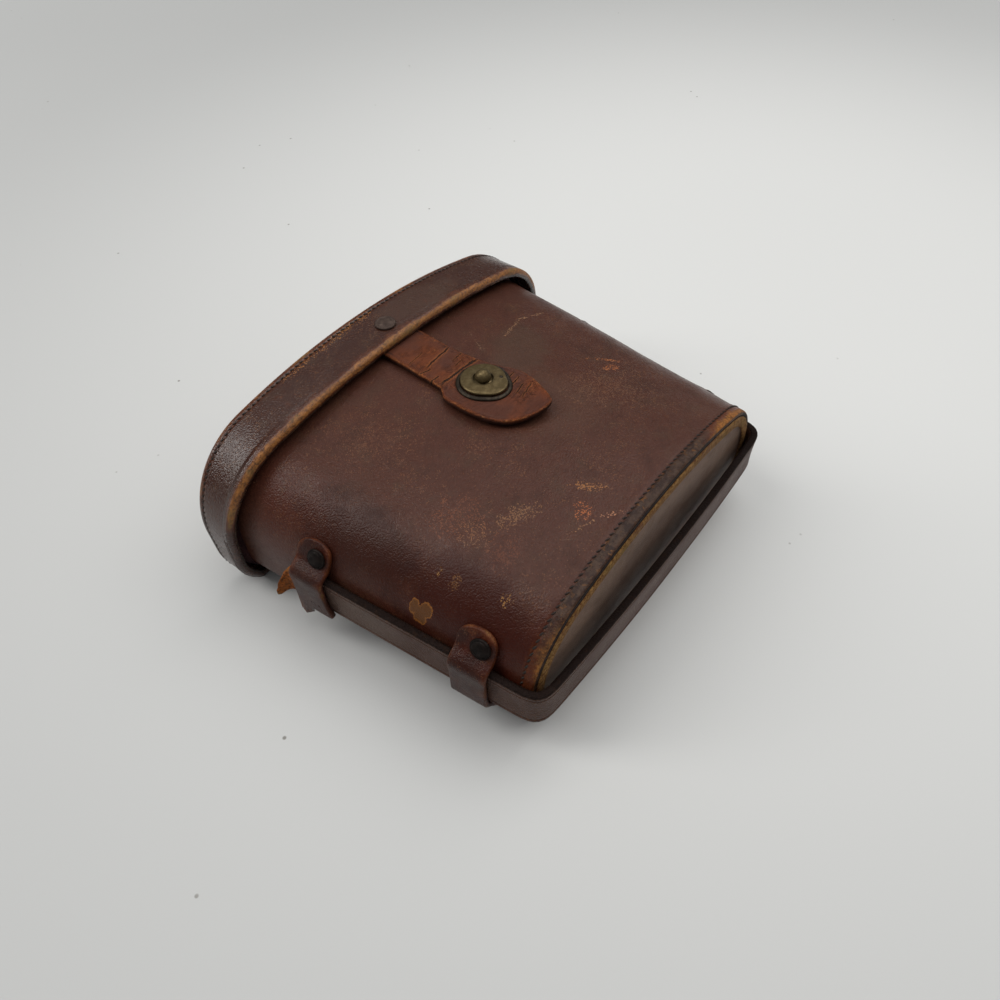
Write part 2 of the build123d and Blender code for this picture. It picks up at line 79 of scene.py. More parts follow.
card_size = 3.0
card_drop = 0.0002
card_colour, card_shade, grit_colour = (0.73, 0.735, 0.725, 1), (0.50, 0.505, 0.50, 1), (0.25, 0.24, 0.22, 1)
backdrop_colour = (0.60, 0.605, 0.595, 1)
room_colour = (0.96, 0.98, 1.0, 1)
room_high, room_low = 0.44, 0.08
lamp_colour = (1.0, 0.985, 0.96)
lamps = (
    ("ceiling_lamp", Vector((0.38, -0.18, 0.91)), 2.4, (2.6, 2.6), 39.0),
    ("window_lamp", Vector((-0.432, 0.552, 0.713)), 1.8, (0.48, 1.70), 14.5),
)


def painted(red, green, blue):
    """A colour written as a painter's chart gives it, 0 to 255, turned into light values."""
    shares = (red / 255, green / 255, blue / 255)
    return tuple(((c + 0.055) / 1.055) ** 2.4 if c > 0.04 else c / 12.92 for c in shares) + (1,)


class Finish:
    """A finish built up on one material in steps; each step adds a node and hands on its result.

    A colour of three numbers is a painter's. Clouds are sized in metres, and patches in millimetres.
    """

    def __init__(self, name):
        self.material = bpy.data.materials.new(name)
        self.material.use_nodes = True
        self.tree = self.material.node_tree
        self.tree.nodes.clear()
        self.output = self.tree.nodes.new("ShaderNodeOutputMaterial")
        self.place = self.step("Attribute", {}, out="Vector", attribute_name="rest")
        self.tone = None

    def step(self, kind, inputs, out=0, **settings):
        node = self.tree.nodes.new("ShaderNode" + kind)
        for key, value in settings.items():
            setattr(node, key, value)
        for key, value in inputs.items():
            socket = node.inputs[key]
            if isinstance(value, bpy.types.NodeSocket):
                self.tree.links.new(value, socket)
            else:
                socket.default_value = painted(*value) if socket.type == "RGBA" and len(value) == 3 else value
        return node.outputs[out]

    def carried(self, name):
        return self.step("Attribute", {}, out="Fac", attribute_name=name)

    def cloud(self, size, detail=4, rough=0.55, place=None, warp=0.0):
        inputs = {"Scale": 1 / size, "Detail": detail, "Roughness": rough, "Distortion": warp}
        return self.step("TexNoise", {"Vector": place or self.place, **inputs})

    def cells(self, size, feature="F1", place=None):
        inputs = {"Vector": place or self.place, "Scale": 1 / size}
        return self.step("TexVoronoi", inputs, out="Distance", feature=feature)

    def grade(self, value, low, high, start=0.0, end=1.0):
        inputs = {0: value, 1: low, 2: high, 3: start, 4: end}
        return self.step("MapRange", inputs, interpolation_type="SMOOTHSTEP")

    def sums(self, how, a, b):
        return self.step("Math", {0: a, 1: b}, operation=how)

    def plus(self, a, b):
        return self.sums("ADD", a, b)

    def minus(self, a, b):
        return self.sums("SUBTRACT", a, b)

    def times(self, a, b):
        return self.sums("MULTIPLY", a, b)

    def most(self, a, b):
        return self.sums("MAXIMUM", a, b)

    def swing(self, value, reach):
        """How far a cloud's value lies above or below its middle."""
        return self.times(self.minus(value, 0.5), reach)

    def over(self, amount, under, top):
        return self.step("Mix", {0: amount, 6: under, 7: top}, out=2, data_type="RGBA", blend_type="MIX")

    def coat(self, amount, colour):
        """Lays one more colour over the tone so far."""
        self.tone = self.over(amount, self.tone, colour)

    def bent(self, scale, detail, reach, place):
        """The place, pushed about by a fine noise."""
        sway = self.step("TexNoise", {"Vector": self.place, "Scale": scale, "Detail": detail}, out="Color")
        return self.step("VectorMath", {0: sway, 1: [reach] * 3, 2: place}, operation="MULTIPLY_ADD")

    def moved(self, spot, turn=(0, 0, 0), size=(1, 1, 1)):
        shifted = self.step("Mapping", {"Vector": self.place, "Location": [-c for c in spot]})
        turned = self.step("Mapping", {"Vector": shifted, "Rotation": [-radians(c) for c in turn]})
        return self.step("Mapping", {"Vector": turned, "Scale": [1 / c for c in size]})

    def patch(self, spot, turn, size):
        """A round patch that fades from 1 at its spot to 0 at its size."""
        ball = self.moved([c / 1000 for c in spot], turn, [c / 1000 for c in size])
        return self.step("TexGradient", {"Vector": ball}, out="Fac", gradient_type="SPHERICAL")

    def show(self, shader):
        self.tree.links.new(shader, self.output.inputs["Surface"])
        return self.material

    def close(self, shader_inputs, *reliefs):
        """Closes the finish with its tone, its gloss and its reliefs, each a height and its depth."""
        inputs = {"Base Color": self.tone, **shader_inputs}
        for height, depth in reliefs:
            bump = {"Height": height, "Distance": depth, "Strength": 1.0}
            if "Normal" in inputs:
                bump["Normal"] = inputs["Normal"]
            inputs["Normal"] = self.step("Bump", bump)
        return self.show(self.step("BsdfPrincipled", inputs))


card_mesh = bmesh.new()
for x in (-card_size, card_size):
    for y in (-card_size, card_size):
        card_mesh.verts.new((x, y, -card_drop))
card_mesh.faces.new([card_mesh.verts[:][i] for i in (0, 2, 3, 1)])
card_data = bpy.data.meshes.new("card")
card_mesh.to_mesh(card_data)
card_mesh.free()
card = bpy.data.objects.new("card", card_data)
bpy.context.scene.collection.objects.link(card)
paper = Finish("white_card")
paper.place = paper.step("TexCoord", {}, out="Object")
fleck = paper.grade(paper.cells(0.021), 0.045, 0.02)
rare = paper.grade(paper.cloud(0.05, 1), 0.55, 0.60)
# Painted light and painted shade: the card is painted brighter round a spot past the far side of the case,
# and darker (card_shade) farther off, as a pool of lamplight would fall.
lit_side = paper.patch((260, 0, 0), (0, 0, 0), (620, 620, 620))
paper.tone = paper.over(paper.grade(lit_side, 0.05, 0.85), card_shade, card_colour)
paper.coat(paper.times(fleck, rare), grit_colour)
near_by = paper.patch((0, 0, 0), (0, 0, 0), (1700, 1700, 1700))
rays = [paper.step("LightPath", {}, out=f"Is {kind} Ray") for kind in ("Camera", "Glossy", "Transmission")]
shown = paper.most(rays[0], paper.most(rays[1], rays[2]))
fade = paper.times(paper.grade(near_by, 0.60, 0.20), shown)
matt = paper.step("BsdfPrincipled", {"Base Color": paper.tone, "Roughness": 0.75})
backdrop = paper.step("Emission", {"Color": backdrop_colour, "Strength": 1.0})
card_data.materials.append(paper.show(paper.step("MixShader", {0: fade, 1: matt, 2: backdrop})))

world = bpy.data.worlds.new("room")
world.use_nodes = True
bpy.context.scene.world = world
room = world.node_tree
room.nodes.clear()
ray, either, outlook, split_way, fading, soft_air, wall_paper, choose, sky = (
    room.nodes.new("ShaderNode" + kind) for kind in (
        "LightPath", "Math", "TexCoord", "SeparateXYZ", "MapRange", "Background", "Background", "MixShader",
        "OutputWorld"))
either.operation = "MAXIMUM"
fading.interpolation_type = "SMOOTHSTEP"
for slot, value in zip((1, 2, 3, 4), (0.32, 0.85, room_low, room_high)):
    fading.inputs[slot].default_value = value
soft_air.inputs["Color"].default_value = room_colour
wall_paper.inputs["Color"].default_value = backdrop_colour
wall_paper.inputs["Strength"].default_value = 1.0
for start, end in (
    (ray.outputs["Is Camera Ray"], either.inputs[0]), (ray.outputs["Is Transmission Ray"], either.inputs[1]),
    (outlook.outputs["Generated"], split_way.inputs[0]), (split_way.outputs["Z"], fading.inputs[0]),
    (fading.outputs[0], soft_air.inputs["Strength"]), (either.outputs[0], choose.inputs[0]),
    (soft_air.outputs[0], choose.inputs[1]), (wall_paper.outputs[0], choose.inputs[2]),
    (choose.outputs[0], sky.inputs["Surface"]),
):
    room.links.new(start, end)

for name, way, distance, size, power in lamps:
    lamp_data = bpy.data.lights.new(name, "AREA")
    lamp_data.shape = "RECTANGLE"
    lamp_data.size, lamp_data.size_y = size
    lamp_data.energy = power
    lamp_data.color = lamp_colour
    lamp = bpy.data.objects.new(name, lamp_data)
    lamp.location = way.normalized() * distance
    lamp.rotation_euler = way.to_track_quat("Z", "Y").to_euler()
    bpy.context.scene.collection.objects.link(lamp)

# ---------------------------------------------------------------------------------------------
# Case wall. One long piece of bridle leather, wet-formed over a block and closed down the back.
# It widens to the mouth; the front has bowed and sunk a little, and the finish has rubbed off in
# places. Both of its ends are cut edges that years of handling have rounded.
# ---------------------------------------------------------------------------------------------
import numpy as np
from mathutils import noise

case_length = 126.0
case_depth = 67.0
base_half_width = 74.0
mouth_half_width = 88.8
waist_height = 30.0
front_bow = 6.0
back_corner = 20.0
wall_thickness = 3.5
stitch_inset = 4.5
groove_half, groove_depth = 0.6, 0.26
rebate, rebate_depth, base_round = 1.75, 0.9, 1.25
mouth_round, mouth_round_in = 1.4, 0.6
base_y = -case_length / 2
mouth_y = case_length / 2
shoulder = case_depth - waist_height - front_bow
taper = (mouth_half_width - base_half_width) / case_length
leather_brown, leather_red_and_shade, leather_dark = (78, 46, 36), (74, 27, 14), (34, 14, 9)
leather_tan = (158, 102, 48)


def half_width_at(y):
    """Half the width of the case at its waist, y millimetres along it."""
    return base_half_width + taper * (y - base_y)


def section(half_width, grow=0.0, floor=None):
    """Cross-section of case or lid: rows of x, z and the way out of the leather, from mid-back round."""
    rise = case_depth - waist_height
    shoulder_x = half_width - shoulder
    bow = (shoulder_x**2 + rise**2 - shoulder**2) / (2 * front_bow)
    join = atan2(waist_height - case_depth + bow, shoulder_x)
    corner_x = half_width - back_corner
    low = -grow if floor is None else floor
    corner = back_corner + grow
    start = -asin(min(1.0, (back_corner - low) / corner))
    edge_x = corner_x + corner * cos(start)
    half = [(edge_x * i / 26, low, 0.0, -1.0) for i in range(26)]
    arcs = (
        (corner_x, back_corner, corner, start, 0.0, 16),
        (shoulder_x, waist_height, shoulder + grow, 0.0, join, 30),
        (0.0, case_depth - bow, bow + grow, join, pi / 2, 44),
    )
    for x, z, radius, first, last, count in arcs:
        for i in range(count):
            turn = first + (last - first) * i / count
            half.append((x + radius * cos(turn), z + radius * sin(turn), cos(turn), sin(turn)))
        if z == back_corner:
            straight = waist_height - back_corner
            half += [(half_width + grow, back_corner + straight * i / 4, 1.0, 0.0) for i in range(4)]
    half.append((0.0, case_depth + grow, 0.0, 1.0))
    return np.array(half + [(-x, z, -nx, nz) for x, z, nx, nz in half[-2:0:-1]])


def hoop(rows, y, push=0.0):
    """A cross-section's points at y, each pushed along its way out of the leather."""
    return np.stack([rows[:, 0] + rows[:, 2] * push, y + 0 * rows[:, 0], rows[:, 1] + rows[:, 3] * push], 1)


def quarter(steps):
    """Angles from nothing to a quarter turn."""
    return [pi / 2 * i / (steps - 1) for i in range(steps)]


def unevenness(points, size, seed):
    """Slow swells of hand-worked leather, from -1 to 1, at each point in millimetres."""
    shift = Vector((seed, 2 * seed, 3 * seed))
    return np.array([noise.noise(Vector(p) / size + shift) for p in points])


def clip(values, low=0, high=1):
    """Values kept between two bounds."""
    return np.clip(values, low, high)


def piece_of(name, points, faces, finish, carried=None):
    """A smooth-faced piece from points in millimetres, with its finish and the values it carries."""
    points = np.asarray(points) * 0.001
    data = bpy.data.meshes.new(name)
    data.from_pydata(points.tolist(), [], faces)
    for key, values in (carried or {}).items():
        field = data.attributes.new(key, "FLOAT", "POINT")
        field.data.foreach_set("value", np.asarray(values, np.float32).reshape(-1))
    rest = data.attributes.new("rest", "FLOAT_VECTOR", "POINT")
    rest.data.foreach_set("vector", points.astype(np.float32).reshape(-1))
    data.polygons.foreach_set("use_smooth", [True] * len(data.polygons))
    data.materials.append(finish)
    piece = bpy.data.objects.new(name, data)
    bpy.context.scene.collection.objects.link(piece)
    return piece


def skin(name, rings, finish, carried=None, closed=False):
    """A piece through rings of points, one ring to a row; a closed one joins its last ring to its first."""
    rings = np.array(rings)
    count, around = rings.shape[:2]
    faces = []
    for k in range(count if closed else count - 1):
        a, b = k * around, (k + 1) % count * around
        faces += [(a + i, a + (i + 1) % around, b + (i + 1) % around, b + i) for i in range(around)]
    piece = piece_of(name, rings.reshape(-1, 3), faces, finish, carried)
    shell = bmesh.new()
    shell.from_mesh(piece.data)
    bmesh.ops.remove_doubles(shell, verts=shell.verts, dist=0.000002)
    bmesh.ops.recalc_face_normals(shell, faces=shell.faces)
    shell.to_mesh(piece.data)
    shell.free()
    return piece


def bridle_leather(
    name, brown, red, dark, worn, grain=0.52, sheen=0.42, redness=0.5, rubbed=0.5, shine=0.24, relief=0.09,
    marks=(), torn=(),
):
    """Waxed vegetable-tanned leather: pebbled grain, uneven dye, dust flecks, scuffs and rubbed edges.

    Marks are (spot, turn, size, kind, colour, strength); torn ones run together and bare the hide.
    """
    hide = Finish(name)
    cloud, grade, coat = hide.cloud, hide.grade, hide.coat
    plus, minus, times, swing = hide.plus, hide.minus, hide.times, hide.swing

    # grain, and clouds that the colours share
    drift, mottle = cloud(0.045, 5, 0.6), cloud(0.011, 6, 0.65)
    fine, clump = cloud(0.0016, 5, 0.6), cloud(0.0032, 4, 0.7)
    bent = hide.bent(700.0, 2.0, 0.0006, hide.place)
    pebble = hide.cells(grain * 0.001, "SMOOTH_F1", bent)
    crease = hide.cells(0.0019, "DISTANCE_TO_EDGE", bent)

    # dye, faded and darkened unevenly; the carried red share also holds painted shade on the case's near side
    # and painted light by the pans' rims
    redness_and_painted_light = grade(plus(hide.carried("red"), swing(drift, 1.1)), 1 - redness - 0.28, 1 - redness + 0.42)
    hide.tone = hide.over(redness_and_painted_light, brown, red)
    coat(grade(mottle, 0.46, 0.72, 0.0, 0.30), dark)
    coat(grade(cloud(0.028, 4), 0.52, 0.75, 0.0, 0.14), (106, 74, 58))
    coat(grade(cloud(0.0075, 4, 0.6), 0.48, 0.70, 0.0, 0.26), (76, 58, 44))
    coat(grade(fine, 0.35, 0.75, 0.0, 0.22), dark)

    # hair-fine scratches, dark pores and dust
    for turn, reach in ((35, 9), (-50, 14), (80, 11)):
        hair = cloud(0.0016, 3, 0.6, hide.moved((0.01 * reach, 0.02, 0), (0, 0, turn), (reach, 0.5, 4)))
        coat(grade(hair, 0.715, 0.79, 0.0, 0.36), (140, 112, 92))
    coat(grade(pebble, 0.50, 0.85, 0.0, 0.34), dark)
    speck = hide.step("TexVoronoi", {"Vector": hide.place, "Scale": 2700.0}, out="Color")
    chance = hide.step("SeparateColor", {0: speck}, out=0)
    dusted = grade(plus(times(clump, 0.6), times(cloud(0.016, 3), 0.6)), 0.56, 0.80, 0.02, 0.20)
    coat(times(grade(minus(dusted, chance), -0.05, 0.06), 0.30), (140, 96, 66))

    # scuffs, stains, patches of painted shade and painted light, and torn places
    for spot, turn, size, kind, colour, strength in marks:
        zone = hide.patch(spot, turn, size)
        if kind == "speckled":
            level = plus(times(zone, 0.46), swing(clump, 1.5))
            zone = times(grade(minus(level, chance), -0.10, 0.10), grade(zone, 0.0, 0.15))
        else:
            zone = grade(plus(zone, swing(mottle, 0.8)), 0.05, 0.6)
        coat(times(zone, strength), colour)
    if torn:
        lifted = hide.patch(*torn[0])
        for mark in torn[1:]:
            lifted = hide.most(lifted, hide.patch(*mark))
        level = plus(lifted, swing(cloud(0.0024, 5, 0.7), 1.2))
        bare = hide.over(grade(level, 0.28, 0.42, 0.0, 0.8), (138, 86, 38), (86, 54, 28))
        coat(times(grade(level, 0.15, 0.22, 0.0, 0.9), grade(lifted, 0.0, 0.10)), bare)

    # edges rubbed to raw hide, through a reddish halo
    ragged = swing(cloud(0.0042, 6, 0.7), 1.1)
    worn_here = plus(hide.carried("worn"), plus(ragged, swing(mottle, 0.6)))
    raw = grade(worn_here, rubbed, rubbed + 0.36)
    coat(grade(worn_here, rubbed - 0.36, rubbed + 0.1, 0.0, 0.75), (92, 46, 22))
    fibre = hide.over(grade(cloud(0.0011, 4, 0.7), 0.35, 0.68), worn, (84, 50, 24))
    coat(raw, hide.over(grade(mottle, 0.52, 0.68, 0.0, 0.5), fibre, (112, 98, 56)))

    # soil, with orange hide showing in it, and black where it is thickest
    soil = plus(hide.carried("grimy"), swing(cloud(0.0026, 6, 0.72), 1.0))
    crust = hide.over(grade(cloud(0.0034, 6, 0.7), 0.42, 0.60), (32, 24, 20), (70, 55, 44))
    coat(grade(soil, 0.22, 0.50, 0.0, 0.78), crust)
    coat(times(grade(cloud(0.0026, 6, 0.75), 0.54, 0.66), grade(soil, 0.20, 0.45, 0.0, 0.75)), (126, 82, 42))
    black = grade(soil, 0.58, 0.88)
    coat(times(black, 0.94), (22, 11, 8))

    gloss = grade(mottle, 0.3, 0.75, sheen - 0.05, sheen + 0.11)
    gloss = plus(gloss, times(hide.most(raw, black), 0.28))
    return hide.close(
        {"Roughness": gloss, "Specular IOR Level": shine},
        (times(cloud(0.0016, 6, 0.8), grade(soil, 0.2, 0.5)), -0.0002),
        (grade(pebble, 0.05, 0.75), -0.001 * relief),
        (grade(crease, 0.0, 0.14), 0.00002),
        (fine, 0.00002),
        (grade(worn_here, rubbed - 0.2, rubbed + 0.5), -0.00025))


wall_marks = (
    ((10.0, -8.0, 66.5), (0, 0, 0), (24, 26, 20), "blotched", (86, 60, 48), 0.40),
    ((27.9, 20.0, 65.5), (0, 0, 30), (26, 16, 20), "blotched", (78, 60, 48), 0.45),
    # Painted shade: these two dark red patches darken the near shoulder, which turns away from the lamps.
    ((-69.0, -34.0, 48.0), (0, 0, 0), (27, 42, 20), "blotched", (52, 15, 6), 0.82),
    ((-70.0, 12.0, 48.0), (0, 0, 0), (20, 40, 19), "blotched", (44, 16, 8), 0.7),
    ((-66.5, -19.7, 54.8), (0, 38, 0), (8.5, 1.1, 2.4), "speckled", (164, 118, 66), 0.55),
    ((-66.6, -26.0, 54.3), (0, 38, 0), (4.2, 2.4, 3.4), "speckled", (150, 106, 62), 0.35),
    ((-49.9, -14.0, 61.5), (0, 0, 20), (10, 12, 9), "speckled", (144, 86, 58), 0.32),
    ((-52.0, -22.0, 61.0), (0, 0, 10), (6, 7, 7), "speckled", (150, 108, 74), 0.28),
    ((-38.0, -29.5, 63.8), (0, 0, -30), (10, 4.6, 8), "speckled", (160, 116, 80), 0.40),
    ((-51.0, -33.5, 60.8), (0, 0, 0), (9, 8, 8), "speckled", (126, 76, 54), 0.28),
    ((-24.8, -46.0, 65.5), (0, 0, 20), (4.4, 4.6, 6), "speckled", (178, 104, 62), 0.75),
    ((-15.8, -41.5, 66.4), (0, 0, -60), (7.5, 2.2, 6), "speckled", (172, 116, 68), 0.62),
    ((-20.5, -54.3, 65.9), (0, 0, -40), (5.5, 1.3, 5), "speckled", (182, 128, 96), 0.80),
    ((-28.5, -49.8, 65.0), (0, 0, -24), (7, 1, 5), "speckled", (168, 122, 84), 0.65),
    ((-62.7, -43.5, 55.7), (0, 34, 0), (4, 2.8, 3.2), "speckled", (172, 124, 70), 0.70),
    ((47.0, -7.5, 62.3), (0, 0, -52), (9.5, 1.2, 5), "speckled", (182, 112, 66), 0.75),
    ((44.4, -12.6, 62.7), (0, 0, -20), (4.6, 3, 4), "speckled", (178, 106, 60), 0.75),
    ((33.0, -20.0, 64.5), (0, 0, -40), (24, 15, 10), "speckled", (150, 108, 80), 0.22),
    ((39.0, 32.5, 64.4), (0, 8, 14), (11, 1.1, 5), "speckled", (160, 122, 90), 0.62),
    ((54.0, 32.6, 61.6), (0, 18, -14), (9, 1.2, 5), "speckled", (160, 122, 90), 0.62),
    ((20.6, 36.0, 66.2), (0, 0, 62), (8, 0.5, 4), "speckled", (146, 112, 88), 0.6),
    ((-43.0, 34.0, 63.5), (0, 0, 15), (18, 21, 12), "speckled", (124, 82, 58), 0.25),
)
heart_mark = (
    ((-76.3, -16.3, 43.2), (0, 30, 0), (3.2, 2.5, 3.8)), ((-75.6, -20.7, 43.6), (0, 30, 0), (3.8, 3.1, 3.8)),
    ((-76.9, -18.9, 41.2), (0, 20, 0), (3.4, 3.4, 4.4)),
)
base_edge = [(1.1, -wall_thickness), (rebate_depth, 0.15 - wall_thickness), (rebate_depth, -rebate - 0.25)]
base_edge += [(0.75, -rebate), (0.55, -rebate)]
base_edge += [(0.5 * (1 - sin(a)), -rebate + 0.5 * (1 - cos(a))) for a in np.linspace(0.3, pi / 2, 4)]
base_edge += [(base_round * (1 - cos(a)), -base_round * (1 - sin(a))) for a in np.linspace(0, pi / 2, 9)]
groove = [(-groove_half, 0), (-0.35, -0.08), (-0.18, -groove_depth)]
groove += [(-a, b) for a, b in groove[::-1]]
wall_loop = [(base_y + a, b) for a, b in base_edge + [(2.4, 0.0), (3.2, 0.0)]]
wall_loop += [(base_y + stitch_inset + a, b) for a, b in groove]
outer_start, outer_end = base_y + stitch_inset + groove_half, mouth_y - 1.5
wall_loop += [(outer_start + (outer_end - outer_start) * i / 56, 0.0) for i in range(1, 56)]
wall_loop += [(mouth_y - mouth_round * (1 - sin(a)), -mouth_round * (1 - cos(a))) for a in quarter(7)]
for a in quarter(7):
    inset, rise = mouth_round_in * (1 - cos(a)), mouth_round_in * (1 - sin(a))
    wall_loop.append((mouth_y - inset, rise - wall_thickness))
inner_start, inner_end = mouth_y - mouth_round_in, base_y + 1.1
wall_loop += [(inner_start + (inner_end - inner_start) * i / 12, -wall_thickness) for i in range(1, 12)]
wall_rings, wall_worn, wall_red_and_shade, wall_grime = [], [], [], []
for y, offset in wall_loop:
    rows = section(half_width_at(y))
    points = hoop(rows, y)
    swell = 0.5 * (unevenness(points, 34.0, 3.1) - 0.35) + 0.16 * (unevenness(points, 9.0, 7.7) - 0.4)
    free = offset > -0.6 and base_y + 6 < y < mouth_y - 2
    sunken = np.minimum(swell, 0) * clip((rows[:, 1] - 44) / 10, 0.12) * free
    points = hoop(rows, y, offset + sunken)
    wall_rings.append(points)
    from_base = y - base_y
    front = clip((rows[:, 1] - 20) / 30)
    far_end = clip((rows[:, 0] - 26) / 22)
    near_end = clip((-rows[:, 0] - 52) / 12)
    outside = offset > -1.3
    edge = (clip(1 - from_base / 1.8) * 0.34 + 0.30 * clip(1 - from_base / 5.0) ** 0.5) if outside else 0.35
    spread = (from_base < 5.4) * outside * (0.62 * far_end * clip(1.25 - from_base / 5.6) + 0.30 * near_end)
    patchy = 0.30 * unevenness(points, 13.0, 5.5) * (from_base < 5.2)
    wall_worn.append(edge * (0.45 + 0.55 * front) + spread + patchy)
    # The red share: painted shade makes the near side redder and darker where it turns away from the lamps,
    # and the wall grows a little redder towards the base.
    wall_red_and_shade.append(0.55 * clip((-rows[:, 0] - 46) / 26) + 0.20 * clip((-20 - y) / 40))
    band = 0.66 * (1 - far_end) * (1 - 0.65 * near_end) * clip((4.6 - from_base) / 0.5) * (rows[:, 1] > 12)
    soiled = band if outside else 1.1 * (offset > -2.6)
    cut_face = 0.55 * (from_base < 0.25) * (offset > -2.6)
    wall_grime.append(soiled + 0.32 * unevenness(points, 17.0, 9.1) * (from_base < 5) + cut_face)
wall_hide = bridle_leather(
    "case_leather", leather_brown, leather_red_and_shade, leather_dark, leather_tan, sheen=0.34, redness=0.42,
    shine=0.21, marks=wall_marks, torn=heart_mark)
carried = {"worn": wall_worn, "red": wall_red_and_shade, "grimy": wall_grime}
case_wall = skin("case_wall_leather", wall_rings, wall_hide, carried, closed=True)
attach(case_wall, "case")
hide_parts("case_wall")

# ---------------------------------------------------------------------------------------------
# Base pan. A disc of thinner leather, blocked so that its rim turns out against the wall. The cut
# rims of wall and pan lie side by side with a dark crack between them, both rubbed to raw hide.
# ---------------------------------------------------------------------------------------------
fit_gap = 0.1
pan_thickness = 3.0
pan_recess = 1.8
pan_lip = 0.6
pan_round, pan_round_in = 1.3, 0.7
pan_middle_z, pan_crown, pan_floor = 34.0, 0.7, 0.45
pan_brown = (100, 80, 69)


def level_at(y):
    """A face that lies square across the case at y."""
    return lambda rows: y + 0 * rows[:, 0]


def pan_rings(rim_side, rim_inner, face_y, floor_y, inner_y, middle_z, crown, facing, lap=0.0):
    """Rings of a blocked pan: inner face, outer side of the rim, cut edge, inner side, fillet, panel."""
    rings, worn, grimy, painted_light = [], [], [], []
    lip = face_y(rim_side)

    def ring(rows, y, wear=0.0, dirt=0.0, push=0.0, light=0.0):
        points = hoop(rows, y, push)
        rings.append(points)
        worn.append(wear + 0.28 * unevenness(points, 12.0, 4.4) * (wear > 0))
        painted_light.append(light + 0 * points[:, 0])
        grimy.append(dirt + 0.3 * unevenness(points, 9.0, 6.2) * (dirt > 0))

    def towards_middle(rows, share):
        shrunk = rows.copy()
        shrunk[:, 0] = rows[:, 0] * (1 - share)
        shrunk[:, 1] = rows[:, 1] + (middle_z - rows[:, 1]) * share
        return shrunk

    for share in (1.0, 0.75, 0.45, 0.2, 0.06):
        rows = towards_middle(rim_side, share)
        ring(rows, inner_y(rows))
    ring(rim_side, inner_y(rim_side) - facing * pan_round_in)
    for reach in (2.9, 2.2, 1.45):
        ring(rim_side, lip - facing * reach, dirt=0.7)
    if lap:
        ring(rim_side, lip - facing * 1.4, dirt=1.0, push=lap - 0.1)
    for turn in (0.0, 0.2, 0.45, 0.75, 1.15, 1.57):
        y = lip - facing * pan_round * (1 - sin(turn))
        ring(rim_side, y, 0.30 + 0.55 * (turn > 0.7), 1.0 * (turn < 0.5), lap - pan_round * (1 - cos(turn)))
    rim_end = pan_round_in - pan_thickness + fit_gap
    for share in (0.35, 0.7):
        ring(rim_side, lip, 0.85, push=(lap - pan_round) * (1 - share) + rim_end * share)
    for turn in (0.0, 0.4, 0.8, 1.2, 1.57):
        y = lip - facing * pan_round_in * (1 - cos(turn))
        ring(rim_inner, y, 0.95 - 0.45 * (turn > 1), push=pan_round_in * (1 - sin(turn)))
    floor = floor_y(rim_inner)
    fillet = min(1.3, float(np.min(np.abs(lip - floor))) - pan_round_in)
    # Painted light: the fillet and the panel by the rim carry a painted-light share (sent on as the red
    # share) that makes them paler, fading out across the panel.
    for turn in (0.1, 0.4, 0.8, 1.2, 1.57):
        ring(rim_inner, floor + facing * fillet * (1 - sin(turn)), push=-fillet * (1 - cos(turn)), light=1.3)
    for share in (0.1, 0.16, 0.25, 0.36, 0.48, 0.6, 0.72, 0.84, 0.93, 1.0):
        rows = towards_middle(rim_inner, share)
        rise = facing * crown * sin(min(1.0, share * 2.4) * pi / 2)
        ring(rows, floor_y(rows) + rise, light=max(0.0, 1.3 - 1.6 * share))
        rings[-1][:, 1] += 0.22 * unevenness(rings[-1], 22.0, 8.8) * min(1.0, share * 4)
    return rings, {"worn": worn, "grimy": grimy, "red": painted_light}


# The pan's second colour, (124, 102, 88), is laid where the carried red share is high. It is painted light:
# it makes the panel paler by its rim.
pan_hide = bridle_leather(
    "pan_leather", pan_brown, (124, 102, 88), (84, 66, 56), (146, 110, 66), grain=0.5, sheen=0.52,
    redness=0.3, rubbed=0.45, shine=0.12)
pan_y = base_y + pan_recess
pan_side = section(half_width_at(pan_y), -wall_thickness - fit_gap)
pan_inner = section(half_width_at(pan_y), -wall_thickness - pan_thickness)
rings, carried = pan_rings(
    pan_side, pan_inner, level_at(base_y - pan_lip), level_at(base_y + pan_floor),
    level_at(pan_y + pan_thickness), pan_middle_z, pan_crown, -1, lap=wall_thickness - rebate)
base_pan = skin("base_pan_leather", rings, pan_hide, carried)
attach(base_pan, "case")
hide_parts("base_pan")

# ---------------------------------------------------------------------------------------------
# Base seam. Waxed linen thread in back stitch, pulled down into a scored groove so that the
# stitches don't chafe; it has gone almost black.
# ---------------------------------------------------------------------------------------------
stitch_pitch = 2.45
stitch_length = 1.9
thread_radius = 0.38
bead_rings, bead_sides = 7, 8


def run_along(points):
    """The distance from the first point to each point of a line."""
    return np.concatenate([[0], np.cumsum(np.linalg.norm(np.diff(points, axis=0), axis=1))])


def read_at(at, run, points):
    """Points of a line, read off at distances along it."""
    return np.stack([np.interp(at, run, column) for column in points.T], -1)


def outward(rows):
    """The way out of the leather at each point of a cross-section."""
    return np.stack([rows[:, 2], 0 * rows[:, 0], rows[:, 3]], 1)


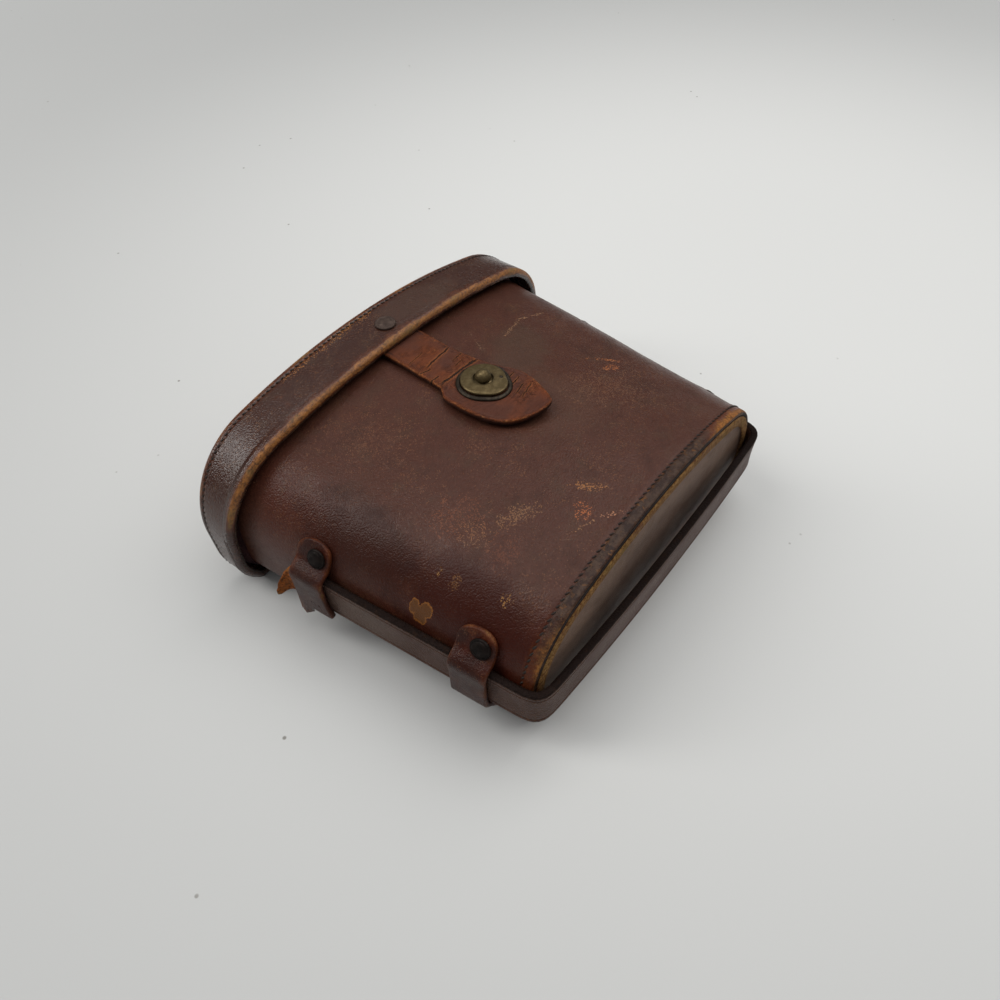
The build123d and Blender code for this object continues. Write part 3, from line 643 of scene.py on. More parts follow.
def stitches(name, line, out, closed=True):
    """Short slanting stitches along a line of points, each a bent bead of thread."""
    across = np.array([0.0, 1.0, 0.0])
    loop, outs = (np.vstack([part, part[:1]]) if closed else part for part in (line, out))
    run = run_along(loop)
    count = int(run[-1] / stitch_pitch)
    beads, faces = [], []
    for k in range(count):
        first = len(beads)
        lean = 0.42 + 0.14 * noise.noise((k * 0.7, 0, 0))
        size = thread_radius * (1 + 0.15 * noise.noise((0, k * 0.9, 0)))
        for j in range(bead_rings):
            along = 2 * j / (bead_rings - 1) - 1
            at = (k + 0.5) * run[-1] / count + along * stitch_length / 2
            away = read_at(at, run, outs)
            middle = read_at(at, run, loop) + across * along * lean - away * 0.35 * along**4
            radius = size * sqrt(max(0.06, 1 - abs(along) ** 3))
            for i in range(bead_sides):
                turn = 2 * pi * i / bead_sides
                beads.append(middle + radius * (cos(turn) * across + sin(turn) * away))
        for low in range(first, len(beads) - bead_sides, bead_sides):
            high = low + bead_sides
            for i in range(bead_sides):
                j = (i + 1) % bead_sides
                faces.append((low + i, low + j, high + j, high + i))
        faces.append(tuple(range(first, first + bead_sides))[::-1])
        faces.append(tuple(range(len(beads) - bead_sides, len(beads))))
    return piece_of(name, beads, faces, waxed_thread)


thread = Finish("waxed_thread")
strand = thread.step("TexWave", {"Vector": thread.place, "Scale": 900.0, "Distortion": 2.0, "Detail": 2.0})
thread.tone = thread.over(thread.cloud(0.006, 3), (18, 11, 8), (40, 25, 17))
thread.coat(thread.grade(strand, 0.4, 0.9, 0.0, 0.3), (64, 42, 28))
waxed_thread = thread.close({"Roughness": 0.62}, (strand, 0.00008))
seam_y = base_y + stitch_inset
rows = section(half_width_at(seam_y))
sunk = np.where(rows[:, 1] < 1, 0.56, 0.10)
base_seam = stitches("base_stitching", hoop(rows, seam_y, -sunk), outward(rows))
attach(base_seam, "case")
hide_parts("base_seam")

# ---------------------------------------------------------------------------------------------
# Lining and base pad. The wall is lined with brushed cotton glued to the flesh side, and a disc of
# wool felt lies on the base to spare the lenses.
# ---------------------------------------------------------------------------------------------
pad_thickness = 2.0
lining_thickness = 0.9
lining_short = 4.0


def napped(name, light, dark, size):
    """Cloth with a brushed nap: matted fibres, paler where they stand up."""
    cloth = Finish(name)
    tangle = cloth.cloud(size, 8, 0.75, warp=0.6)
    fibres = cloth.cloud(size * 0.25, 4, 0.7)
    cloth.tone = cloth.over(cloth.grade(tangle, 0.32, 0.7), dark, light)
    cloth.coat(cloth.grade(fibres, 0.5, 0.8, 0.0, 0.35), (150, 110, 100))
    cloth.coat(cloth.grade(cloth.cloud(0.03, 3), 0.45, 0.75, 0.0, 0.4), dark)
    nap = {"Roughness": 0.95, "Sheen Weight": 0.35, "Sheen Roughness": 0.5}
    return cloth.close(nap, (tangle, 0.0004), (fibres, 0.00012))


lining_start = pan_y + pan_thickness + pad_thickness + 2 * fit_gap
lining_end = mouth_y - lining_short
lining_run = [(lining_end - lining_start) * i / 24 for i in range(25)]
glued = -wall_thickness - fit_gap
lining_loop = [(lining_start + reach, glued) for reach in lining_run] + [(lining_end + 0.12, glued - 0.45)]
lining_loop += [(lining_end - reach, glued - lining_thickness) for reach in lining_run]
rings = []
for y, offset in lining_loop:
    rows = section(half_width_at(y))
    ruck = 0.25 * (unevenness(hoop(rows, y), 16.0, 2.2) + 0.6) * (offset < glued)
    rings.append(hoop(rows, y, offset - ruck))
lining_cloth = napped("brushed_lining", (92, 30, 34), (58, 18, 22), 0.0035)
wall_lining = skin("wall_lining_cloth", rings, lining_cloth, closed=True)
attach(wall_lining, "case")
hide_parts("wall_lining")


def felt_disc(name, rows, low_y, high_y, middle_z):
    """A disc of felt between two faces, its cut edge soft and its face a little hummocky."""
    steps = [(share, low_y, 0) for share in (1.0, 0.7, 0.4, 0.15)]
    steps += [(0, low_y, 0.8), (0, low_y, 0.25), (0, None, 0), (0, high_y, 0.25), (0, high_y, 0.8)]
    steps += [(share, high_y, 0) for share in (0.08, 0.2, 0.35, 0.5, 0.65, 0.8, 0.92, 1.0)]
    rings = []
    for share, face, round_in in steps:
        x = (rows[:, 0] - rows[:, 2] * round_in) * (1 - share)
        z = rows[:, 1] - rows[:, 3] * round_in
        z = z + (middle_z - z) * share
        facing = np.sign(high_y(z) - low_y(z))
        y = face(z) if face else (low_y(z) + high_y(z)) / 2
        if round_in == 0.25:
            y = y + round_in * facing * (1 if face is low_y else -1)
        points = np.stack([x, y, z], 1)
        if face is high_y and share:
            points[:, 1] -= 0.15 * (unevenness(points, 11.0, 1.4) + 1) * facing
        rings.append(points)
    return skin(name, rings, wool_felt)


wool_felt = napped("wool_felt", (88, 34, 36), (60, 20, 24), 0.0022)
pad_low = pan_y + pan_thickness + fit_gap
pad_high = pad_low + pad_thickness
pad_rows = section(half_width_at(pad_low), -wall_thickness - fit_gap)
base_pad = felt_disc(
    "base_pad_felt", pad_rows, lambda z: pad_low + 0 * z, lambda z: pad_high + 0 * z, pan_middle_z)
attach(base_pad, "case")
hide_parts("base_pad")

# ---------------------------------------------------------------------------------------------
# Lid band. A stout strip of the same hide bent into a hoop that laps over the mouth in front and
# at the sides. Its thick rim is cut square, and handling has rounded it and rubbed off the dye.
# ---------------------------------------------------------------------------------------------
moving_gap = 0.5
band_thickness = 3.8
band_gap = 3.2
rim_slope = 0.1
band_width_front = 22.0
top_slope = 0.08
lid_seam_inset = 2.8
hinge_y = mouth_y + moving_gap / 2
rim_front_y = hinge_y - rim_slope * case_depth
top_front_y = rim_front_y + band_width_front
rim_half_width = mouth_half_width - taper * (mouth_y - rim_front_y)
band_grow = band_gap + band_thickness
round_rim, round_rim_in, round_top, round_top_in = 1.9, 0.9, 1.3, 0.6
band_swell = 0.5
lid_brown = (62, 35, 26)


def rim_y(rows):
    """Where the slanting rim of the lid lies for each point of its cross-section."""
    y = hinge_y - rim_slope * rows[:, 1]
    return np.where(np.abs(rows[:, 3] + 1) < 0.001, mouth_y + moving_gap, y)


def top_y(rows, inset=0.0):
    """Where the slanting top of the lid lies, less an inset down the band."""
    return top_front_y - inset + top_slope * (rows[:, 1] - case_depth)


def band_ring(depth, y, wear=0.0, dirt=0.0, swell=0.0):
    """Adds one ring of the band at a depth under its outer face."""
    x, z = (band_out + (band_in - band_out) * depth / band_thickness)[:, :2].T
    points = np.stack([x, y, z], 1)
    lump = swell * (unevenness(points, 26.0, 2.5) - 0.2) * clip(z / 12)
    points[:, 0] += band_out[:, 2] * lump
    points[:, 2] += band_out[:, 3] * lump
    patchy = unevenness(points, 15.0, 6.5)
    band_rings.append(points)
    band_worn.append((wear + 0.30 * patchy * (wear > 0.05)) * clip((z - 36) / 12, 0.1))
    band_red.append(0.30 * clip((-x - 60) / 40))
    band_grime.append(dirt + 0.25 * patchy * (dirt > 0.05))


band_out = section(rim_half_width, band_grow, 0.0)
band_in = section(rim_half_width, band_gap, band_thickness)
band_rings, band_worn, band_red, band_grime = [], [], [], []
rim_at, top_at, groove_at = rim_y(band_out), top_y(band_out), top_y(band_out, lid_seam_inset)
for turn, wear in zip(quarter(8), (0.62, 0.86, 1.0, 1.05, 1.0, 0.86, 0.66, 0.50)):
    band_ring(round_rim * (1 - sin(turn)), rim_at + round_rim * (1 - cos(turn)), wear)
for share, wear in ((0.10, 0.34), (0.15, 0.18), (0.2, 0.10)):
    band_ring(0.0, rim_at * (1 - share) + top_at * share, wear, 0.0, band_swell * sin(pi * share))
for i in range(1, 20):
    share = 0.2 + 0.8 * i / 20
    y = rim_at * (1 - share) + (groove_at - 0.75) * share
    band_ring(0.0, y, 0.02, 0.0, band_swell * sin(pi * share))
for step, dip in ((-0.6, 0.0), (-0.36, 0.25), (-0.2, 0.48), (0.2, 0.48), (0.36, 0.25), (0.6, 0.0)):
    band_ring(0.6 * dip, groove_at + step, 0.22, 0.16)
band_ring(0.0, top_y(band_out, round_top + 0.3), 0.44)
for i, turn in enumerate(quarter(7)):
    band_ring(round_top * (1 - cos(turn)), top_y(band_out, round_top * (1 - sin(turn))), 0.50 + 0.03 * i)
for i, turn in enumerate(quarter(5)):
    y = top_y(band_out, round_top_in * (1 - cos(turn)))
    band_ring(band_thickness - round_top_in * (1 - sin(turn)), y, 0.3 - 0.06 * i, 0.5)
for i in range(1, 10):
    share = i / 10
    y = top_y(band_out, round_top_in) * (1 - share) + (rim_at + round_rim_in) * share
    band_ring(band_thickness, y, 0.0, 0.2)
for i, turn in enumerate(quarter(6)):
    y = rim_at + round_rim_in * (1 - sin(turn))
    band_ring(band_thickness - round_rim_in * (1 - cos(turn)), y, 0.06 + 0.05 * i, 0.55)
band_marks = (
    ((20.0, 67.0, 73.0), (0, 0, 0), (30.0, 12.0, 9.0), "blotched", (80, 60, 50), 0.45),
    ((-10.0, 76.0, 73.8), (0, 0, 4), (22.0, 3.2, 7.0), "speckled", (166, 112, 62), 0.6),
    ((-32.0, 75.5, 71.0), (0, -6, 4), (16.0, 2.6, 7.0), "speckled", (170, 112, 60), 0.6),
)
lid_hide = bridle_leather(
    "lid_leather", lid_brown, leather_red_and_shade, leather_dark, leather_tan, grain=0.5, sheen=0.24, redness=0.25,
    rubbed=0.44, shine=0.46, relief=0.075, marks=band_marks)
carried = {"worn": band_worn, "red": band_red, "grimy": band_grime}
lid_band = skin("lid_band_leather", band_rings, lid_hide, carried, closed=True)
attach(lid_band, "lid")
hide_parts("lid_band")

# ---------------------------------------------------------------------------------------------
# Lid seam and top. The top is a second blocked pan, sewn round the front and the sides with the
# same thread, its lip standing just proud of the band; a felt disc pads it inside.
# ---------------------------------------------------------------------------------------------
lid_middle_z, lid_crown = 38.0, 0.8
thread_sunk = 0.14
sewn = band_out[(band_out[:, 1] > 1.2) & (band_out[:, 3] > -0.99)]
strides = np.linalg.norm(np.roll(sewn, -1, 0)[:, :2] - sewn[:, :2], axis=1)
sewn = np.roll(sewn, -int(np.argmax(strides)) - 1, 0)
lid_line = hoop(sewn, top_y(sewn, lid_seam_inset), -thread_sunk)
lid_seam = stitches("lid_stitching", lid_line, outward(sewn), closed=False)
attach(lid_seam, "lid")
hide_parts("lid_seam")

top_side = section(rim_half_width, band_gap - fit_gap, band_thickness + fit_gap)
top_inner = section(rim_half_width, band_gap - pan_thickness, band_thickness + pan_thickness)
rings, carried = pan_rings(
    top_side, top_inner, lambda rows: top_y(rows, -pan_lip), lambda rows: top_y(rows, pan_recess),
    lambda rows: top_y(rows, pan_recess + pan_thickness), lid_middle_z, lid_crown, 1)
lid_pan = skin("lid_top_leather", rings, pan_hide, carried)
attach(lid_pan, "lid")
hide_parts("lid_pan")

lid_pad_high = top_front_y - pan_recess - pan_thickness - fit_gap
lid_pad = felt_disc(
    "lid_pad_felt", top_side, lambda z: lid_pad_high + top_slope * (z - case_depth),
    lambda z: lid_pad_high - pad_thickness + top_slope * (z - case_depth), lid_middle_z)
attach(lid_pad, "lid")
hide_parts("lid_pad")

# ---------------------------------------------------------------------------------------------
# Strap keepers. Four loops of light strap leather hold the strap to the sides. Each is riveted
# above the strap and below it; the near one by the lid has torn through and hangs by one rivet.
# ---------------------------------------------------------------------------------------------
keeper_width = 14.5
keeper_thickness = 2.2
keeper_setback_base, keeper_setback_lid = 21.2, 38.2
keeper_places = {"base": base_y + keeper_setback_base, "lid": mouth_y - keeper_setback_lid}
keeper_rivet_shift = -2.0
keeper_leave, keeper_top = 19.5, 36.0
keeper_back_leave, keeper_back = -24.0, -52.0
keeper_round = 6.6
skive_share = 0.7
strap_width, strap_thickness = 17.5, 3.0
strap_gap, strap_drop = 0.4, 1.7
strap_low = waist_height - strap_drop - strap_width / 2
strap_high = strap_low + strap_width
path_step = 0.2
torn_side_height, torn_top_height = 22.0, 19.0
torn_edge = np.array((
    (-9, 16.5), (-6.6, 15.4), (-5.2, 13), (-4.1, 16.8), (-3.3, 14.4), (-2.8, 18.6), (-1.8, 21.6), (-0.4, 23),
    (2, 24.4), (4.2, 25.2), (5.2, 22.4), (6.4, 20), (9, 21)))
keeper_brown = (52, 25, 19)
upward = np.array([0, 0, 1.0])


def cut_piece(name, finish, outline, spine, thickness, soften, spread, lay, carry, dips=()):
    """A piece cut from sheet leather: its outline walks in to a spine, on both faces, round a soft edge.

    lay turns flat places and a height off the middle of the sheet into points; dips are (inset, depth).
    """
    reach = np.linalg.norm(outline - spine, axis=1)
    half = thickness / 2
    to_spine = 1e6
    edge = [(soften * (1 - cos(a)), half - soften + soften * sin(a)) for a in np.linspace(0, pi / 2, 6)]
    face = sorted([(d, half - dip) for d, dip in dips] + [(d, half) for d in spread])
    inner = [(d, -w) for d, w in edge] + [(d, -half) for d in spread] + [(to_spine, -half)]
    rings, insets, sides = [], [], []
    for d, w in inner[::-1] + edge + face + [(to_spine, half)]:
        share = np.minimum(1.0, d / np.maximum(reach, 1e-6))[:, None]
        rings.append(lay(outline * (1 - share) + spine * share, w))
        insets.append(np.minimum(d, reach))
        sides.append(np.full(len(outline), w / half))
    rings, insets, sides = np.array(rings), np.array(insets), np.array(sides)
    return skin(name, rings, finish, carry(rings, insets, sides))


def at_edge(insets, reach):
    """1 on the cut edge, falling to 0 at an inset."""
    return clip(1 - insets / reach)


def crease(insets, inset, width=0.5):
    """1 on a creased line that runs round at an inset, falling to 0 beside it."""
    return clip(1 - np.abs(insets - inset) / width)


def lumps(rings, size, seed):
    """The unevenness of every ring of a piece."""
    return np.array([unevenness(points, size, seed) for points in rings])


def smooth_path(points, step, soften):
    """An even, softened line through corner points."""
    points = np.array(points, float)
    run = run_along(points)
    line = read_at(np.arange(0, run[-1], step), run, points)
    reach = int(3 * soften / step)
    weight = np.exp(-0.5 * (np.arange(-reach, reach + 1) * step / soften) ** 2)
    weight /= weight.sum()
    for c in range(line.shape[1]):
        first = 2 * line[0, c] - line[1 : reach + 1, c][::-1]
        last = 2 * line[-1, c] - line[-reach - 1 : -1, c][::-1]
        line[:, c] = np.convolve(np.concatenate([first, line[:, c], last]), weight, "valid")
    return line


def follow(line):
    """A function from a distance along a flat line to its place there and its left-hand normal."""
    run = run_along(line)
    way = np.gradient(line, axis=0)
    way /= np.linalg.norm(way, axis=1)[:, None]

    def at(s):
        place, heading = read_at(s, run, line), read_at(s, run, way)
        place += np.minimum(s, 0)[:, None] * way[0] + np.maximum(s - run[-1], 0)[:, None] * way[-1]
        return place, np.stack([-heading[:, 1], heading[:, 0]], 1)

    return at, run[-1]


def on_wall(angle, out=0.0):
    """Point on the side of the case, out from its shoulder or, below, its back corner."""
    turn = radians(angle)
    radius, height = (shoulder, waist_height) if angle > 0 else (back_corner, back_corner)
    return (radius * (cos(turn) - 1) + out * cos(turn), height + (radius + out) * sin(turn))


def side_frame(side, y):
    """Origin, way out and way along the case for a keeper at y on one side."""
    lean = atan(taper)
    out, along = np.array([side * cos(lean), -sin(lean), 0.0]), np.array([side * sin(lean), cos(lean), 0.0])
    return np.array([side * half_width_at(y), y, 0.0]), out, along


def down_to(height):
    """How far along the hanging keeper a height lies."""
    return float(np.interp(-height, -hanging_line[:, 1], np.arange(len(hanging_line)) * path_step))


mid = fit_gap + keeper_thickness / 2
over_strap = strap_gap + strap_thickness + mid
keeper_corners = [on_wall(a, mid) for a in np.linspace(keeper_top, keeper_leave, 12)]
keeper_corners += [(over_strap + 0.6, strap_high + 0.9), (over_strap + 0.2, strap_high - 5.0)]
keeper_corners += [(over_strap, strap_low - 0.9)]
keeper_corners += [on_wall(a, mid) for a in np.linspace(keeper_back_leave, keeper_back, 12)]
keeper_line = smooth_path(keeper_corners, path_step, 1.5)
tight_corners = keeper_corners[:11] + [(over_strap - 0.1, strap_high - 0.9)] + keeper_corners[14:]
tight_line = smooth_path(tight_corners, path_step, 1.2)
hanging_end = [(over_strap + 0.2, 15.0), (over_strap + 1.0, 7.0)]
hanging_line = smooth_path(keeper_corners[:15] + hanging_end, path_step, 1.5)
keeper_marks = (((-90.0, -42.0, 30.0), (0, 0, 0), (9.0, 12.0, 12.0), "blotched", (84, 40, 26), 0.45),)
keeper_hide = bridle_leather(
    "keeper_leather", keeper_brown, (74, 30, 18), leather_dark, (128, 84, 50), grain=0.45, sheen=0.34,
    redness=0.5, rubbed=0.68, shine=0.16, marks=keeper_marks)
half = keeper_width / 2
round_turns = [pi * i / 28 for i in range(29)]
for side_name, side in (("near", -1), ("far", 1)):
    for end_name, keeper_y in keeper_places.items():
        origin, out, along = side_frame(side, keeper_y)
        torn = (side_name, end_name) == ("near", "lid")
        keeper_at, keeper_run = follow(hanging_line if torn else keeper_line if side < 0 else tight_line)
        outline = [(-half * cos(a), keeper_round * (1 - sin(a) ** 0.8)) for a in round_turns]
        if torn:
            side_steps = np.linspace(keeper_round, down_to(torn_side_height), 26)[1:-1]
            far_edge = []
            for u in np.linspace(half, -half, 40):
                height = np.interp(-u, torn_edge[:, 0], torn_edge[:, 1])
                height += 1.1 * noise.noise((u * 1.9, 3.0, 1.0)) + 0.5 * noise.noise((u * 5.5, 8.0, 1.0))
                far_edge.append((u, down_to(height)))
        else:
            side_steps = np.linspace(keeper_round, keeper_run - keeper_round, 44)[1:-1]
            far_edge = [(half * cos(a), keeper_run - keeper_round * (1 - sin(a) ** 0.8)) for a in round_turns]
        outline += [(half, s) for s in side_steps] + far_edge + [(-half, s) for s in side_steps[::-1]]
        outline = np.array(outline)
        low, high = half * 0.9, outline[:, 1].max() - (5.0 if torn else half * 0.9)
        spine = np.stack([0 * outline[:, 0], clip(outline[:, 1], low, high)], 1)

        def lay_keeper(flat, w):
            u, s = flat.T
            place, normal = keeper_at(s)
            waist = 1 - 0.05 * np.exp(-(((s - keeper_run * 0.5) / 9.0) ** 2))
            skived = (side > 0) * skive_share * clip(2.6 - s / 5.5)
            w = w + skived * (keeper_thickness / 2 - w)
            sway = 0.25 * np.array([noise.noise((a * 0.12, b * 0.12, keeper_y)) for a, b in flat])
            local = place - normal * (w + np.abs(sway) * 0.5)[:, None]
            drag = torn * 2.2 * clip((25.0 - local[:, 1]) / 6) ** 1.5 * clip((-2.0 - u) / 4)
            across = u * waist + (sway - drag)
            return origin + local[:, :1] * out + local[:, 1:] * upward + across[:, None] * along

        def carry_keeper(rings, insets, sides):
            rough = lumps(rings, 6.0, 2.0)
            ragged = (rings[..., 2] < torn_top_height) * torn * 0.5 * at_edge(insets, 2.5)
            worn = at_edge(insets, 1.0) * 0.38 + 0.3 * rough * (insets < 2.2) + ragged + (sides < 0) * 0.3
            return {"worn": worn, "red": 0.35 + 0.4 * rough, "grimy": crease(insets, 1.6) * 0.38}

        keeper = cut_piece(
            f"keeper_{side_name}_{end_name}_leather", keeper_hide, outline, spine, keeper_thickness, 0.7,
            (3.0, 4.4, 5.8), lay_keeper, carry_keeper, dips=((1.4, 0), (1.65, 0.2), (1.85, 0.2), (2.1, 0)))
        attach(keeper, "case")
        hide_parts(f"keeper_{side_name}_{end_name}")

# ---------------------------------------------------------------------------------------------
# Rivets and burrs. Each copper rivet is hammered over a washer inside the wall, and its domed head
# has darkened to almost black. The far side's heads are flatter, and the front ones there sit low
# in thinned leather and have worn dull brown.
# ---------------------------------------------------------------------------------------------
rivet_radius, rivet_head = 3.8, 1.6
shank_radius = 1.5
burr_radius, burr_thickness = 3.4, 0.9
front_rivet, back_rivet = 25.0, -38.0
far_head_share, seat_share = 0.5, 0.66


def turned(name, finish, centre, axis, profile, uneven=0.0, spin=56):
    """A piece turned about an axis from rows of radius and height, its face a little hammered."""
    axis = np.array(axis, float) / np.linalg.norm(axis)
    first = np.cross(axis, (0, 0, 1) if abs(axis[2]) < 0.9 else (0, 1, 0))
    first /= np.linalg.norm(first)
    second = np.cross(axis, first)
    turn = np.linspace(0, 2 * pi, spin, endpoint=False)
    spokes = np.outer(np.cos(turn), first) + np.outer(np.sin(turn), second)
    rings = []
    for radius, height in profile:
        points = np.array(centre) + radius * spokes + height * axis
        rings.append(points + np.outer(uneven * unevenness(points, 1.5, 3.3), axis))
    return skin(name, rings, finish)


def old_metal(name, bright, dull, crust, shine=0.45, metal=0.75, beaten=0.16, gleam=0.5):
    """Old metal: a handled sheen and brown tarnish in drifting patches, and a dark crust in fine flecks and
    in the hollows the piece marks.
    """
    face = Finish(name)
    drift, fine = face.cloud(0.0022, 6, 0.65), face.cloud(0.0006, 4, 0.6)
    scratch = face.cloud(0.0012, 3, 0.6, place=face.moved((0, 0, 0), (0, 0, 35), (1, 9, 9)))
    face.tone = face.over(face.grade(drift, 0.32, 0.62), bright, dull)
    face.coat(face.grade(fine, 0.52, 0.75, 0.0, 0.6), crust)
    face.coat(face.grade(scratch, 0.60, 0.72, 0.0, 0.4), bright)
    face.coat(face.carried("grimy"), crust)
    gloss = face.grade(drift, 0.3, 0.7, shine - 0.06, shine + 0.2)
    metal_look = {"Metallic": metal, "Roughness": gloss, "Specular IOR Level": gleam}
    return face.close(metal_look, (drift, beaten * 0.001), (fine, 0.00005), (scratch, 0.00003))


def rivet_profile(foot_of_head, foot, dome):
    """Domed head with a thin rolled rim, and the shank below it."""
    turns = [pi / 2 * i / 8 for i in range(1, 8)]
    head = [(0.0, 1.0)] + [(0.78 * sin(a), 0.55 + 0.45 * cos(a)) for a in turns]
    head += [(0.80, 0.50), (0.84, 0.56), (0.93, 0.52), (1.0, 0.28)]
    rows = [(rivet_radius * share, foot_of_head + dome * height) for share, height in head]
    rows += [(rivet_radius * 0.99, foot_of_head + 0.06), (rivet_radius * 0.9, foot_of_head)]
    rows += [(shank_radius + 0.1, foot_of_head), (shank_radius, foot_of_head - 0.1)]
    return rows + [(shank_radius, foot + 0.1), (shank_radius - 0.15, foot), (0.0, foot)]


def washer_profile(low, high, inner, outer, ease=0.15):
    """A flat washer with eased corners, as rows of radius and height that close on themselves."""
    foot = [(inner, low + ease), (inner + ease, low), (outer - ease, low), (outer, low + ease)]
    face = [(outer, high - ease), (outer - ease, high), (inner + ease, high), (inner, high - ease)]
    return foot + face + foot[:1]


dark_copper = old_metal("dark_copper", (32, 24, 21), (18, 13, 11), (8, 5, 4), 0.46, 0.2, gleam=0.12)
dull_copper = old_metal("dull_lid_copper", (88, 71, 62), (62, 47, 40), (34, 24, 19), 0.5, 0.45)
keeper_out = fit_gap + keeper_thickness + fit_gap
burr_top = -wall_thickness + burr_thickness
burr_rows = washer_profile(-wall_thickness, burr_top, shank_radius + 0.05, burr_radius)
for side_name, side in (("near", -1), ("far", 1)):
    for end_name, keeper_y in keeper_places.items():
        for place_name, angle in (("front", front_rivet), ("back", back_rivet)):
            name = f"{side_name}_{end_name}_{place_name}"
            if name == "near_lid_back":
                continue
            origin, out, along = side_frame(side, keeper_y + keeper_rivet_shift)
            a, z = on_wall(angle)
            centre = origin + a * out + z * upward
            axis = out * cos(radians(angle)) + upward * sin(radians(angle))
            low_set = side > 0 and place_name == "front"
            seat = keeper_out - seat_share * keeper_thickness * low_set
            rows = rivet_profile(seat, -wall_thickness, rivet_head * (far_head_share if side > 0 else 1.0))
            rivet = turned(
                f"rivet_{name}_copper", dull_copper if low_set else dark_copper, centre, axis, rows, 0.10)
            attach(rivet, "case")
            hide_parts(f"rivet_{name}")
            burr = turned(f"burr_{name}_copper", dark_copper, centre, axis, burr_rows, 0.03, 40)
            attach(burr, "case")
            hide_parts(f"burr_{name}")

# ---------------------------------------------------------------------------------------------
# Carrying strap. Firm strap leather with a creased line along each edge. It runs down one side,
# round the base and up the other; the cut end by the lid has curled out and shows raw hide.
# ---------------------------------------------------------------------------------------------
strap_base_gap = 2.6
strap_bow = 1.9
near_setback, far_setback = 17.6, 26.0
tail_slant, tail_reach, tail_curl = 13.5, 9.0, 7.4
near_end, far_end = mouth_y - near_setback, mouth_y - far_setback
strap_brown = (82, 58, 49)
strap_z = strap_low + strap_width / 2
strap_mid = strap_gap + strap_thickness / 2
corner_y = base_y - strap_base_gap - strap_thickness / 2
corner_x = half_width_at(corner_y) + strap_mid
bow_radius = (corner_x**2 + strap_bow**2) / (2 * strap_bow)
half_turn = asin(corner_x / bow_radius)
strap_points = [(half_width_at(y) + strap_mid, y) for y in np.linspace(far_end, corner_y, 30)[:-1]]
for a in np.linspace(half_turn, -half_turn, 61):
    strap_points.append((bow_radius * sin(a), corner_y - strap_bow + bow_radius * (1 - cos(a))))
strap_points += [(-half_width_at(y) - strap_mid, y) for y in np.linspace(corner_y, near_end, 30)[1:]]
strap_at, strap_run = follow(smooth_path(strap_points, 0.5, 4.2))
half = strap_width / 2
outline = [(s, half) for s in np.linspace(1.2, strap_run - tail_slant - 1.0, 230)]
for share in [i / 18 for i in range(1, 18)]:
    ragged = 0.8 * noise.noise((share * 9, 0, 2)) * sin(pi * share)
    cut = 1.0 + tail_slant * (1 - share) ** 1.9 + 2.4 * share**7
    outline.append((strap_run - cut + ragged, half - strap_width * share))
outline += [(s, -half) for s in np.linspace(strap_run - 3.6, 1.2, 230)]
outline += [(0.3 * cos(pi * i / 8), -half + strap_width * i / 9) for i in range(1, 9)]
outline = np.array(outline)
spine = np.stack([clip(outline[:, 0], 6.0, strap_run - 10.0), 0 * outline[:, 0]], 1)


def lay_strap(flat, w):
    """Lays the flat strap along its way round the case; its near tail curls out and droops."""
    s, v = flat.T
    tail = clip((s - (strap_run - tail_reach)) / tail_reach)
    place, normal = strap_at(s - 3.4 * tail**2)
    cup = -0.35 * (1 - (v / half) ** 2)
    away = w + cup + tail_curl * tail**1.7 * (1 - 0.15 * v / half)
    slack = np.array([noise.noise((a * 0.018, 0.5, 4.0)) for a in s])
    round_base = np.exp(-(((s - strap_run * 0.47) / 52.0) ** 2))
    z = strap_z + v - 4.2 * tail**1.3 + 0.8 * slack * round_base
    return np.stack([*(place + normal * away[:, None]).T, z], 1)


def carry_strap(rings, insets, sides):
    """The strap's wear, redness and dirt: raw on its tail, black along its edges."""
    rough = lumps(rings, 11.0, 6.0)
    tail = clip((rings[..., 1] - (near_end - 12.5)) / 3.0) * (rings[..., 0] < 0)
    worn = at_edge(insets, 1.0) * 0.22 + 0.30 * rough * (insets < 1.6) + tail * 1.1 + (sides < -0.5) * 0.15
    soiled = clip(1.45 - insets / 0.65) * (1 - tail) * 1.25 + crease(insets, 2.2) * 0.26
    return {"worn": worn, "red": 0.2 + 0.5 * rough + 0.5 * tail, "grimy": soiled}


strap_marks = (
    ((-88.0, -16.0, 30.0), (0, 0, 0), (6.0, 14.0, 5.0), "speckled", (150, 130, 116), 0.4),
    ((-86.0, -34.0, 25.0), (0, 0, 0), (6.0, 9.0, 4.0), "speckled", (140, 118, 104), 0.35),
    ((-10.0, -72.0, 29.0), (0, 0, 0), (34.0, 6.0, 3.0), "speckled", (140, 122, 114), 0.3),
    # Painted light: these two long pale mauve-grey patches make the strap's outer face round the base look
    # lit by the floor and room.
    ((-30.0, -74.0, 28.0), (0, 0, 0), (60.0, 8.0, 12.0), "blotched", (112, 92, 86), 0.6),
    ((40.0, -74.0, 28.0), (0, 0, 0), (50.0, 8.0, 12.0), "blotched", (112, 92, 86), 0.5),
    ((-86.0, 0.0, 28.0), (0, 0, 0), (8.0, 26.0, 12.0), "blotched", (100, 84, 74), 0.5),
)
strap_hide = bridle_leather(
    "strap_leather", strap_brown, (84, 50, 40), (44, 30, 25), (164, 92, 40), grain=0.55, sheen=0.42,
    redness=0.3, rubbed=0.6, shine=0.12, relief=0.22, marks=strap_marks)
strap = cut_piece(
    "carrying_strap_leather", strap_hide, outline, spine, strap_thickness, 1.1, (3.4, 4.8, 6.4, 7.8),
    lay_strap, carry_strap, dips=((1.8, 0), (2.05, 0.24), (2.35, 0.24), (2.6, 0)))
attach(strap, "case")
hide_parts("carrying_strap")

